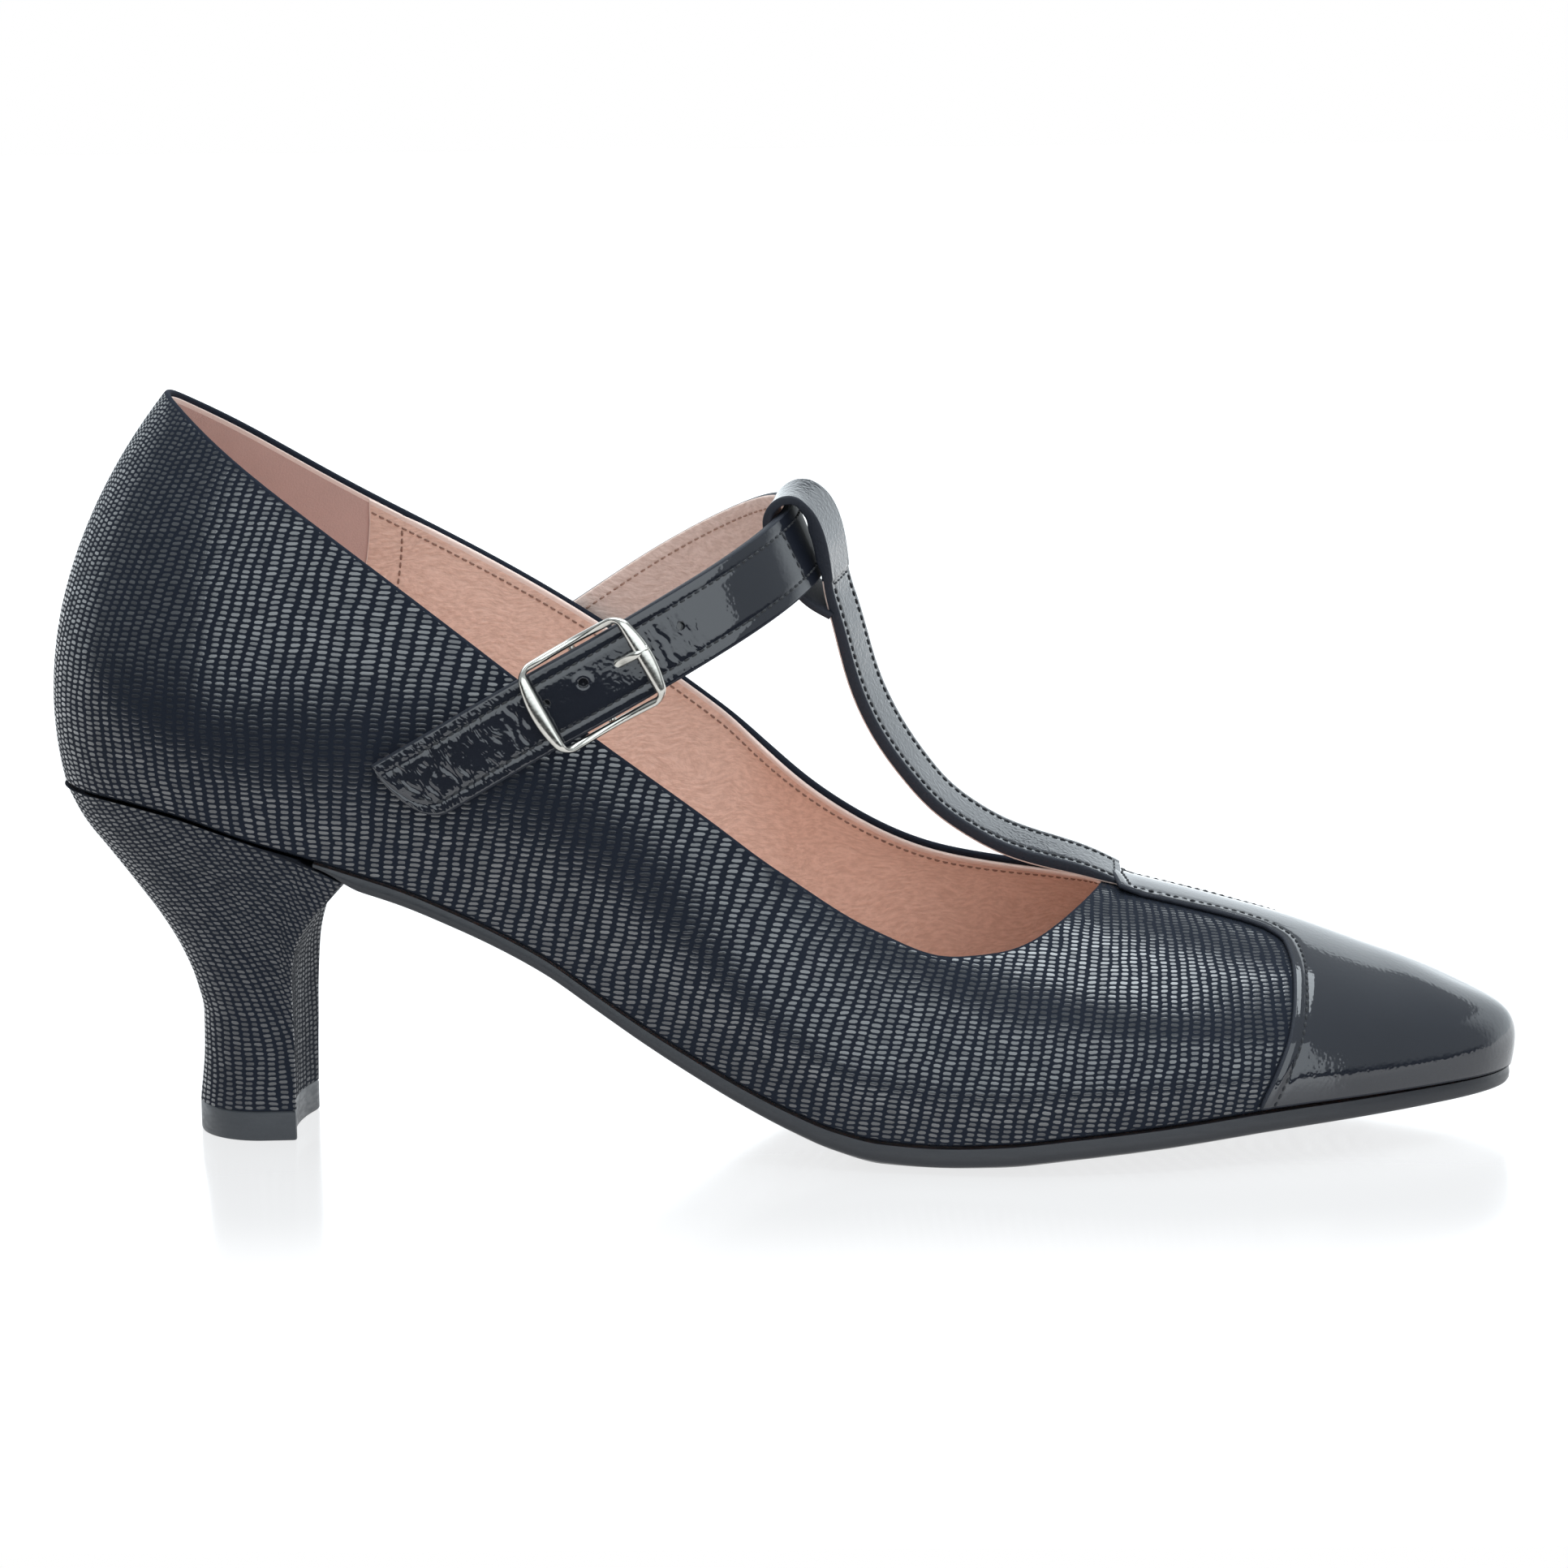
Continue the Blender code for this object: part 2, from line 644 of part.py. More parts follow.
def heel_section(level, base):
    """One ring of the heel: outer side, breast, inner side back round to the middle."""
    back = HEEL_GROW[0](level)
    breast = HEEL_GROW[1](level)
    spread = HEEL_GROW[2](level)
    hollow = BREAST_HOLLOW * (1.0 - level ** 3)
    sides = {}
    for side in (LATERAL, MEDIAL):
        points = []
        tip, seat = heel_outlines(side)
        for t, s in zip(tip, seat):
            share = min(max((s[0] - seat[0][0]) / (seat[-1][0] - seat[0][0]), 0.0), 1.0)
            grow = back * (1.0 - share) + breast * share
            points.append((
                t[0] + (s[0] - t[0]) * grow,
                t[1] + (s[1] - t[1]) * spread,
                base + level * (heel_top(s[0]) - base),
            ))
        sides[side] = points
    front = []
    a = np.array(sides[LATERAL][-1])
    b = np.array(sides[MEDIAL][-1])
    for share in (0.25, 0.5, 0.75):
        point = a + (b - a) * share
        point[0] -= hollow * (1.0 - (2.0 * share - 1.0) ** 2)
        front.append(tuple(point))
    return sides[LATERAL], front, sides[MEDIAL]


def heel_cap(count, start):
    """Faces closing a heel ring, strip by strip across the foot."""
    total = 2 * count + 3
    faces = []
    for j in range(count - 1):
        left = (start + j, start + j + 1)
        right = (start + total - 1 - j, start + total - 2 - j)
        faces.append((left[0], left[1], right[1], right[0]))
    faces.append(tuple(range(start + count - 1, start + count + 4)))
    return faces


def heel_rings(levels, base):
    """Rings of the heel at the given levels."""
    rings = []
    for level in levels:
        lateral, front, medial = heel_section(level, base)
        rings.append(lateral + front + medial[::-1])
    return rings


def build_heel(material):
    """Covered heel block, hollowed down the back and flared to the seat."""
    base = HEEL_TIP_HEIGHT + GAP
    levels = [row[0] for row in HEEL_RISE]
    rings = heel_rings(levels, base)
    count = HEEL_ROUND_POINTS + 1 + len(HEEL_SIDE)
    size = len(rings[0])
    faces = ring_faces(rings) + heel_cap(count, 0) + heel_cap(count, (len(rings) - 1) * size)
    return new_object("heel", flatten(rings), faces, material)


def build_heel_tip(material):
    """Hard top piece the heel stands on."""
    ring = heel_rings([0.0], 0.0)[0]
    rings = [[(x, y, z) for x, y, _ in ring] for z in (0.0, HEEL_TIP_HEIGHT)]
    count = HEEL_ROUND_POINTS + 1 + len(HEEL_SIDE)
    faces = ring_faces(rings) + heel_cap(count, 0) + heel_cap(count, len(ring))
    return new_object("heel_tip", flatten(rings), faces, material, False)


def build_toe_cap(material):
    """Patent cap with its spine up to the throat, lying on the upper's own surface."""
    edge = monotone(column(CAP_EDGE, CAP_COLUMNS, "share"), column(CAP_EDGE, CAP_COLUMNS, "station"))
    rows = column(CAP_EDGE, CAP_COLUMNS, "share")
    shares = sorted(set(rows) | set(0.5 * (rows[:-1] + rows[1:])))
    rings = []
    for side, order in ((LATERAL, shares), (MEDIAL, shares[-2::-1])):
        for v in order:
            start = edge(v)
            row = []
            for j in range(CAP_COLUMN_COUNT + 1):
                u = start + (TOE - start) * j / CAP_COLUMN_COUNT
                row.append(wall_point(wall_column(side, u), v))
            rings.append(row)
    item = new_object("toe_cap", flatten(rings), ring_faces(rings, False), material)
    turn_outward(item)
    lift = item.modifiers.new("lift", "DISPLACE")
    lift.direction = "NORMAL"
    lift.mid_level = 0.0
    lift.strength = GAP * MM
    shell = item.modifiers.new("hide", "SOLIDIFY")
    shell.thickness = CAP_THICK * MM
    shell.offset = 1.0
    shell.use_even_offset = True
    return item


def path_splines(rows, names):
    """Splines of all columns along the path's own length, and that length."""
    points = np.stack([column(rows, names, name) for name in ("x", "y", "z")], axis=1)
    length = np.append(0.0, np.cumsum(np.linalg.norm(np.diff(points, axis=0), axis=1)))
    return {name: spline(length, column(rows, names, name)) for name in names}, length[-1]


def path_point(curves, s):
    """Point of a path."""
    return np.array([curves[name](s) for name in ("x", "y", "z")])


def path_tangent(curves, s):
    """Unit direction of a path."""
    step = path_point(curves, s + 0.05) - path_point(curves, s - 0.05)
    return step / np.linalg.norm(step)


def unit(vector):
    """Vector of length one."""
    return vector / np.linalg.norm(vector)


def t_frame(s):
    """Centre, width and face directions of the T strap."""
    yaw = math.radians(T_PATH["yaw"](s))
    tilt = math.radians(T_PATH["tilt"](s))
    ahead = path_tangent(T_PATH, s)
    width = np.array([math.cos(tilt) * math.sin(yaw), math.cos(tilt) * math.cos(yaw), math.sin(tilt)])
    width = unit(width - ahead * width.dot(ahead))
    return path_point(T_PATH, s), width, np.cross(ahead, width) * -1.0


def build_t_strap(material):
    """Strap from the throat that folds round the ankle strap into a loop."""
    rings = []
    for s in np.linspace(0.0, T_LENGTH, T_RINGS + 1):
        centre, width, face = t_frame(min(max(s, 0.06), T_LENGTH - 0.06))
        half = 0.5 * T_WIDTH
        thick = 0.5 * T_PATH["thick"](s)
        rings.append([centre + width * a * half + face * b * thick for a, b in CORNERS])
    last = len(rings) - 1
    faces = ring_faces(rings) + [(0, 1, 2, 3), tuple(last * 4 + k for k in range(4))]
    return new_object("t_strap", flatten(rings), faces, material, False)


def ankle_frame(s):
    """Centre, width and outward face directions of the ankle strap."""
    lean = math.radians(ANKLE_PATH["lean"](s))
    ahead = path_tangent(ANKLE_PATH, s)
    level = unit(np.array([-ahead[1], ahead[0], 0.0]))
    face = math.cos(lean) * level + np.array([0.0, 0.0, math.sin(lean)])
    face = unit(face - ahead * face.dot(ahead))
    return path_point(ANKLE_PATH, s), np.cross(ahead, face), face


def ankle_ring(s, low, high):
    """Ring of the ankle strap between two places across it: inner row, then outer row."""
    centre, width, face = ankle_frame(min(max(s, 0.06), ANKLE_LENGTH - 0.06))
    rise = face * 0.5 * STRAP_THICK
    return [
        centre + width * low - rise,
        centre + width * high - rise,
        centre + width * high + rise,
        centre + width * low + rise,
    ]


def build_ankle_strap(material):
    """Strap from the inner quarter through the loop and buckle to its rounded free end."""
    half = 0.5 * STRAP_WIDTH
    body = np.linspace(0.0, ANKLE_LENGTH - STRAP_TIP_SLANT, STRAP_RINGS + 1)
    rings = [ankle_ring(s, -half, half) for s in body]
    for share in (0.25, 0.5, 0.75, 0.92):
        s = ANKLE_LENGTH - STRAP_TIP_SLANT * (1.0 - share)
        rings.append(ankle_ring(s, half - 2.0 * half * (1.0 - share ** 2) ** 0.5, half))
    last = len(rings) - 1
    faces = ring_faces(rings) + [(0, 1, 2, 3), tuple(last * 4 + k for k in range(4))]
    return new_object("ankle_strap", flatten(rings), faces, material, False)


def buckle_point(along, across, height):
    """Point of the buckle from its place along, across and above the strap's middle."""
    centre, width, face = ankle_frame(BUCKLE_S - along)
    return centre + width * across + face * height


def buckle_height(along):
    """Height of the frame's middle above the strap's middle, low at the bar and high at the ends."""
    reach = abs(along) / (0.5 * BUCKLE_OPENING[0])
    return BUCKLE_LOW + (BUCKLE_HIGH - BUCKLE_LOW) * min(reach, 1.0) ** 2


def frame_outline(length, width, corner, bow):
    """Rounded rectangle with bowed ends as points round the buckle, with stops along its sides."""
    points = []
    corners = ((1, 1), (-1, 1), (-1, -1), (1, -1))
    for i, (cx, cy) in enumerate(corners):
        centre = np.array([cx * (0.5 * length - corner), cy * (0.5 * width - corner)])
        for k in range(6):
            angle = math.radians(90.0 * i + 18.0 * k)
            points.append(centre + corner * np.array([math.cos(angle), math.sin(angle)]))
        nx, ny = corners[(i + 1) % 4]
        turn = math.radians(90.0 * i + 90.0)
        goal = np.array([nx * (0.5 * length - corner), ny * (0.5 * width - corner)])
        goal = goal + corner * np.array([math.cos(turn), math.sin(turn)])
        start = points[-1]
        for share in (0.2, 0.4, 0.6, 0.8):
            points.append(start + (goal - start) * share)
    for point in points:
        point[0] += math.copysign(bow * (1.0 - (2.0 * point[1] / width) ** 2), point[0])
    return points


def build_buckle(material):
    """Bowed frame with a bar under the strap, as one casting."""
    length, width = BUCKLE_OPENING
    outer_length = length + 2.0 * (BUCKLE_END_BAR - BUCKLE_END_BOW)
    outer = frame_outline(outer_length, width + 2.0 * BUCKLE_BAR, BUCKLE_CORNER, BUCKLE_END_BOW)
    inner = frame_outline(length, width, BUCKLE_INNER_CORNER, 0.0)
    rings = []
    for (ox, oy), (ix, iy) in zip(outer, inner):
        mx = 0.5 * (ox + ix)
        my = 0.5 * (oy + iy)
        ring = []
        for k in range(8):
            angle = 2.0 * math.pi * (k + 0.5) / 8.0
            swing = BAR_FULLNESS * math.cos(angle)
            rise = 0.5 * BUCKLE_BAR * BAR_FULLNESS * math.sin(angle)
            x = mx + 0.5 * (ox - ix) * swing
            y = my + 0.5 * (oy - iy) * swing
            ring.append(buckle_point(x, y, buckle_height(mx) + rise))
        rings.append(ring)
    rings.append(rings[0])
    item = new_object("buckle", flatten(rings), ring_faces(rings), material)
    bar_rings = []
    span = 0.5 * (width + BUCKLE_BAR)
    for share in (-1.0, -0.5, 0.0, 0.5, 1.0):
        bar_rings.append([
            buckle_point(
                0.5 * CENTRE_BAR * math.cos(math.radians(45.0 * k)),
                share * span,
                BAR_HEIGHT + 0.5 * CENTRE_BAR * math.sin(math.radians(45.0 * k)),
            )
            for k in range(8)
        ])
    faces = ring_faces(bar_rings) + [tuple(range(8)), tuple(range(32, 40))]
    bar = new_object("centre_bar", flatten(bar_rings), faces, material)
    collection.objects.unlink(bar)
    cutters.objects.link(bar)
    bar.hide_render = True
    bar.display_type = "WIRE"
    join = item.modifiers.new("centre_bar", "BOOLEAN")
    join.operation = "UNION"
    join.solver = "EXACT"
    join.object = bar
    return item


def build_prong(material):
    """Tongue of the buckle, from its hole in the strap to rest on the front end bar."""
    rings = []
    rest = BUCKLE_HIGH + 0.5 * BUCKLE_BAR * BAR_FULLNESS + GAP + 0.5 * PRONG_THICK
    root = 0.5 * STRAP_THICK + GAP + 0.5 * PRONG_THICK
    for share in np.linspace(0.0, 1.0, 9):
        along = PRONG_START + (PRONG_END - PRONG_START) * share
        blend = min(share / 0.75, 1.0)
        height = root + (rest - root) * blend * blend * (3.0 - 2.0 * blend)
        half = 0.5 * PRONG_WIDTH * (1.0 - 0.25 * share)
        rings.append([
            buckle_point(along, PRONG_ACROSS + a * half, height + b * 0.5 * PRONG_THICK)
            for a, b in CORNERS
        ])
    last = len(rings) - 1
    faces = ring_faces(rings) + [(0, 1, 2, 3), tuple(last * 4 + k for k in range(4))]
    return new_object("buckle_prong", flatten(rings), faces, material, False)


def path_place(curves, length, x, lateral):
    """Place along a path where it passes x on the wanted side."""
    best = min(
        (abs(curves["x"](s) - x), s)
        for s in np.linspace(0.0, length, 2000)
        if (curves["y"](s) < 0.0) == lateral
    )
    return best[1]


T_PATH, T_LENGTH = path_splines(T_STRAP, T_COLUMNS)
ANKLE_PATH, ANKLE_LENGTH = path_splines(ANKLE_STRAP, ANKLE_COLUMNS)
BUCKLE_S = path_place(ANKLE_PATH, ANKLE_LENGTH, BUCKLE_PLACE_X, True)
BAR_HEIGHT = -0.5 * STRAP_THICK - GAP - 0.5 * CENTRE_BAR
HEEL_GROW = [
    monotone(column(HEEL_RISE, HEEL_COLUMNS, "level"), column(HEEL_RISE, HEEL_COLUMNS, name))
    for name in ("back", "breast", "side")
]

for old in list(bpy.data.objects):
    bpy.data.objects.remove(old)
collection = bpy.data.collections.new(OBJECT_NAME)
bpy.context.scene.collection.children.link(collection)
cutters = bpy.data.collections.new("cutters")
bpy.context.scene.collection.children.link(cutters)

build_upper(make_material("textile", (0.012, 0.013, 0.020), 0.7))
build_outsole(make_material("sole_rubber", (0.010, 0.010, 0.011), 0.5))
build_insole(make_material("insole_leather", (0.66, 0.42, 0.36), 0.6))
build_heel(make_material("heel_textile", (0.012, 0.013, 0.020), 0.7))
build_heel_tip(make_material("heel_tip_plastic", (0.03, 0.03, 0.032), 0.45))
build_toe_cap(make_material("patent", (0.010, 0.010, 0.012), 0.15))
build_t_strap(make_material("t_strap_patent", (0.010, 0.010, 0.012), 0.15))
build_ankle_strap(make_material("ankle_strap_patent", (0.010, 0.010, 0.012), 0.15))
build_buckle(make_material("nickel", (0.62, 0.60, 0.57), 0.22))
build_prong(make_material("prong_nickel", (0.62, 0.60, 0.57), 0.22))
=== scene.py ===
"""Looks of a right-foot mary jane pump: foiled textile, patent cap and straps, lining, buckle, stage.

Lengths in the tables are millimetres in the frame's own axes: toe along +X, outer side along -Y.
"""
import json
import math

import bmesh
import bpy
import numpy as np
from mathutils import Matrix, Vector
from mathutils.bvhtree import BVHTree

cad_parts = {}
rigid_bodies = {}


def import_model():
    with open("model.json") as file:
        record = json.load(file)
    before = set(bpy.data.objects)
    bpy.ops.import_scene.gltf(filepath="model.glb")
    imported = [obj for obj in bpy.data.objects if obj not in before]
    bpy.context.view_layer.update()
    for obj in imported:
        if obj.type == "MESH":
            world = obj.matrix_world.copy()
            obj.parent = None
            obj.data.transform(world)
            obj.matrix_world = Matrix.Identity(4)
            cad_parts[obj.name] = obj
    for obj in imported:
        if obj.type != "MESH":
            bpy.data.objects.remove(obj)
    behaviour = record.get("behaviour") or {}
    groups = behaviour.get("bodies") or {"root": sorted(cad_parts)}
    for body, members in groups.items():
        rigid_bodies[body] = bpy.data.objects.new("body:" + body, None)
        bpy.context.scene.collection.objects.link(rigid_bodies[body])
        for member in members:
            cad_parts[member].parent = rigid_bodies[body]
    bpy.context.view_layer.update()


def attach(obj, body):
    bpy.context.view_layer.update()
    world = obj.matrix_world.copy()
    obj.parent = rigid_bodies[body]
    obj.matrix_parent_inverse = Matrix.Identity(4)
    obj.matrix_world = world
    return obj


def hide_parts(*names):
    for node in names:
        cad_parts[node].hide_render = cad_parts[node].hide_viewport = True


bl_info = {
    "name": "Mary Jane Pump",
    "version": (1, 0, 0),
    "blender": (4, 5, 0),
    "location": "View3D > Sidebar > Pump",
    "description": "Dresses the packed pump with textile, patent, lining, stitches, buckle and stage",
    "category": "Object",
}

for old in list(bpy.data.objects):
    bpy.data.objects.remove(old)
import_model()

MM = 0.001
BODY = "root"
LATERAL = -1
MEDIAL = 1
UP = np.array([0.0, 0.0, 1.0])


class Table:
    """Rows of values under the names of their columns."""

    def __init__(self, names, *rows):
        self.names = names.split()
        self.rows = rows

    def __getitem__(self, name):
        index = self.names.index(name)
        return np.array([row[index] for row in self.rows], float)


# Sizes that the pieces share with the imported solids
WALL = 2.0
GAP = 0.3
INSOLE_THICK = 2.0
INSOLE_INSET = 2.6
INSOLE_LIFT = 0.15
SOLE_OVERHANG = 0.4
SOLE_REAR_X = -77.0
FEATHER_START_X = -69.0
FEATHER_DEPTH = 1.7
HEEL_TIP_HEIGHT = 5.2
BREAST_HOLLOW = 1.9
HEEL_SOLE_GAP = 0.4

# Plan of the feather line: one row a station from heel back to toe tip
PLAN = Table(
    "name x lateral medial flare_lat flare_med rise",
    ("heel_back", -121.3, 0.0, 0.0, 6.0, 6.0, 25.0),
    ("heel_corner", -115.6, 14.6, 14.2, 5.4, 5.4, 24.0),
    ("heel_side", -102.5, 23.2, 22.4, 4.6, 4.6, 21.0),
    ("breast", -83.0, 26.4, 24.6, 3.4, 3.8, 17.0),
    ("waist_rear", -60.0, 26.0, 21.2, 2.8, 4.6, 14.0),
    ("waist", -36.0, 26.2, 18.8, 2.6, 5.2, 13.0),
    ("waist_front", -13.0, 28.6, 20.4, 3.4, 4.8, 15.0),
    ("joint", 9.0, 33.4, 26.6, 4.4, 4.2, 18.0),
    ("ball", 30.0, 37.4, 33.4, 5.0, 4.2, 21.0),
    ("ball_front", 46.0, 37.8, 36.2, 5.0, 4.2, 22.0),
    ("throat", 59.0, 36.2, 36.4, 4.6, 4.0, 21.0),
    ("vamp", 71.0, 33.0, 34.2, 4.0, 3.6, 19.0),
    ("cap_line", 84.0, 28.2, 30.2, 3.2, 3.0, 16.5),
    ("cap", 97.0, 22.6, 25.0, 2.6, 2.5, 13.5),
    ("toe_side", 109.0, 15.6, 18.2, 2.1, 2.1, 11.2),
    ("toe_corner", 118.4, 8.0, 10.8, 1.8, 1.8, 9.5),
    ("toe_tip", 122.6, -1.2, 1.2, 1.8, 1.8, 9.0),
)
THROAT = 10.0
TOE = float(len(PLAN.rows) - 1)

# Upper edge of the quarters from the back of the collar to the joint; lean is the handle below it
TOPLINE = Table(
    "x_lat y_lat z_lat x_med y_med z_med lean_out lean_down",
    (-102.3, 0.0, 126.4, -102.3, 0.0, 126.4, 14.0, 17.0),
    (-99.2, -9.0, 124.2, -99.4, 8.6, 124.2, 12.0, 17.5),
    (-89.2, -16.8, 115.9, -90.0, 16.0, 118.2, 8.5, 18.0),
    (-72.0, -23.0, 103.2, -73.6, 21.4, 107.9, 5.5, 16.0),
    (-51.0, -26.0, 87.3, -52.0, 24.0, 95.9, 3.4, 14.0),
    (-30.0, -27.0, 70.9, -31.0, 24.6, 83.0, 2.6, 12.0),
    (-10.0, -26.8, 55.9, -11.0, 24.6, 68.5, 2.6, 11.0),
    (9.0, -25.8, 41.7, 7.0, 24.2, 55.0, 4.0, 10.5),
    (25.0, -23.6, 35.0, 22.5, 22.8, 46.4, 6.5, 8.5),
)
JOINT_START = 6.0
JOINT_END = 8.0

# Height of the rim round the front of the opening, either side
RIM = Table(
    "x lateral medial",
    (-40.0, 78.9, 89.0),
    (-24.0, 66.4, 78.2),
    (-10.0, 55.9, 67.8),
    (0.0, 48.0, 59.9),
    (9.0, 41.7, 53.6),
    (17.0, 37.8, 48.9),
    (25.0, 35.0, 45.5),
    (32.0, 34.8, 43.9),
    (39.0, 35.7, 43.0),
    (46.0, 38.5, 42.5),
    (52.0, 41.2, 42.1),
    (54.5, 42.0, 42.0),
)

# Ridge of the last: real in front of the throat, open air above the foot behind it
RIDGE = Table(
    "x y z",
    (-26.0, 0.6, 84.0),
    (-2.0, 1.2, 66.0),
    (22.0, 1.8, 53.0),
    (40.0, 2.2, 46.2),
    (54.5, 2.4, 42.0),
    (65.0, 2.6, 39.3),
    (76.0, 2.8, 36.3),
    (87.0, 2.8, 33.0),
    (98.0, 2.4, 29.0),
    (107.0, 1.8, 25.7),
    (113.0, 1.2, 23.0),
)
# Where each station from the joint to the toe meets the ridge, and how far its crown runs out level
CROWN = Table(
    "ridge_x crown",
    (-26.0, 15.0),
    (-2.0, 15.5),
    (22.0, 16.0),
    (40.0, 15.5),
    (54.5, 15.0),
    (65.0, 14.5),
    (77.0, 13.5),
    (89.0, 12.0),
    (100.0, 10.5),
    (108.5, 9.5),
    (113.0, 9.0),
)

# Side profile of the sole: height of its lower edge, edge thickness and bulge of the tread below it
SOLE_PROFILE = Table(
    "x under thick bulge",
    (-122.0, 57.9, 2.4, 0.0),
    (-112.0, 57.5, 2.4, 0.0),
    (-101.5, 55.8, 2.4, 0.0),
    (-88.0, 51.5, 2.4, 0.0),
    (-77.0, 48.2, 2.4, 0.0),
    (-71.0, 46.2, 2.4, 0.0),
    (-63.0, 43.4, 2.4, 0.0),
    (-55.0, 39.9, 2.4, 0.0),
    (-47.0, 36.0, 2.4, 0.1),
    (-39.0, 31.4, 2.5, 0.2),
    (-31.5, 26.0, 2.5, 0.4),
    (-23.5, 20.3, 2.6, 0.5),
    (-15.5, 15.1, 2.8, 0.6),
    (-7.5, 10.4, 2.9, 0.8),
    (0.5, 6.4, 3.0, 1.0),
    (8.0, 3.4, 3.1, 1.2),
    (16.0, 1.6, 3.2, 1.6),
    (25.0, 1.2, 3.2, 1.2),
    (36.0, 1.6, 3.2, 1.6),
    (48.0, 2.7, 3.2, 1.5),
    (64.0, 4.0, 3.2, 1.4),
    (80.0, 5.2, 3.2, 1.3),
    (97.0, 6.0, 3.1, 1.1),
    (110.0, 6.4, 2.9, 0.9),
    (124.0, 6.7, 2.6, 0.6),
)
SOLE_BULGE_INSET = 9.0

# Heel: share of the way from tip (0) to seat (1) that back, breast and sides have grown at a level
HEEL_RISE = Table(
    "level back breast side",
    (0.00, 0.00, 0.00, 0.00),
    (0.17, -0.045, 0.01, 0.05),
    (0.28, -0.05, 0.02, 0.10),
    (0.38, 0.005, 0.02, 0.17),
    (0.485, 0.115, 0.03, 0.27),
    (0.59, 0.275, 0.05, 0.39),
    (0.69, 0.464, 0.13, 0.53),
    (0.795, 0.671, 0.33, 0.68),
    (0.90, 0.874, 0.66, 0.85),
    (1.00, 1.00, 1.00, 1.00),
)
TIP_BACK_X = -100.3
TIP_FRONT_X = {LATERAL: -82.5, MEDIAL: -81.1}
TIP_HALF_WIDTH = 12.0
TIP_ROUND = 11.5
TIP_TAPER = 0.4
# Straight part of the heel's side: place along the seat and share of the tip's straight side
HEEL_SIDE = Table(
    "seat_x tip_share",
    (-95.0, 0.00),
    (-88.0, 0.30),
    (-79.0, 0.68),
    (-77.6, 0.76),
    (-72.0, 1.00),
)
HEEL_STEP_X = (-79.0, -77.6)
HEEL_ROLL = 0.28
EDGE_ROLL = 0.6
ROW_BIAS = 1.25

# Edge of the toe cap and its spine on either side: height share of the wall and station
CAP_EDGE = Table(
    "share station",
    (0.02, 11.56),
    (0.12, 11.74),
    (0.26, 11.95),
    (0.45, 12.12),
    (0.62, 12.24),
    (0.73, 12.27),
    (0.80, 12.13),
    (0.83, 11.85),
    (0.84, 11.30),
    (0.848, 10.04),
    (1.00, 10.04),
)

# T strap: centre line from the throat up, over the ankle strap and down behind it to its own back
T_STRAP = Table(
    "x y z yaw tilt thick",
    (56.8, 2.4, 42.4, 4.0, 8.0, 0.9),
    (53.4, 2.3, 43.7, 4.0, 9.0, 1.6),
    (50.0, 2.2, 44.9, 4.0, 10.0, 2.0),
    (44.0, 1.8, 46.7, 4.0, 12.0, 2.2),
    (37.6, 1.3, 49.0, 5.0, 13.0, 2.2),
    (31.3, 0.7, 52.6, 8.0, 12.0, 2.2),
    (26.6, 0.2, 56.3, 11.0, 11.0, 2.2),
    (22.2, -0.4, 61.4, 14.0, 10.0, 2.2),
    (18.1, -1.0, 67.4, 16.0, 10.0, 2.2),
    (13.6, -1.9, 77.2, 17.0, 10.0, 2.2),
    (10.7, -2.9, 88.0, 17.0, 10.0, 2.0),
    (9.1, -3.6, 94.3, 16.0, 10.0, 1.7),
    (8.5, -4.2, 99.3, 16.0, 10.0, 1.5),
    (7.5, -4.5, 103.4, 16.0, 10.0, 1.5),
    (5.6, -4.8, 106.8, 16.0, 10.0, 1.5),
    (2.9, -5.0, 108.4, 15.0, 10.0, 1.4),
    (0.3, -5.1, 107.7, 12.0, 10.0, 1.3),
    (-1.2, -5.1, 105.4, 9.0, 10.0, 1.3),
    (-0.6, -5.0, 102.0, 9.0, 10.0, 1.3),
    (0.8, -4.8, 98.2, 9.0, 10.0, 1.3),
    (2.7, -4.5, 94.6, 10.0, 10.0, 1.3),
    (5.2, -4.1, 91.9, 13.0, 10.0, 1.3),
    (8.0, -3.4, 90.1, 15.0, 10.0, 1.3),
)
T_WIDTH = 10.8

# Ankle strap: centre line from the inner quarter over the instep to the free end, face lean in degrees
ANKLE_STRAP = Table(
    "x y z lean",
    (-50.0, 27.3, 69.4, -2.0),
    (-40.0, 27.5, 76.4, 2.0),
    (-29.8, 27.2, 83.2, 5.0),
    (-21.2, 25.7, 88.9, 9.0),
    (-13.2, 22.6, 93.8, 13.0),
    (-5.6, 17.4, 98.0, 17.0),
    (0.6, 9.6, 100.8, 20.0),
    (3.6, 1.4, 101.2, 22.0),
    (3.4, -6.0, 100.3, 22.0),
    (0.0, -14.4, 97.8, 20.0),
    (-7.2, -21.6, 93.4, 15.0),
    (-16.2, -26.4, 88.4, 10.0),
    (-30.4, -29.2, 80.5, 4.0),
    (-42.0, -29.8, 74.2, 3.0),
    (-52.0, -29.8, 68.4, 1.0),
    (-63.4, -29.5, 61.8, 0.0),
)
STRAP_WIDTH = 13.0
STRAP_THICK = 2.0
STRAP_TIP_SLANT = 7.0

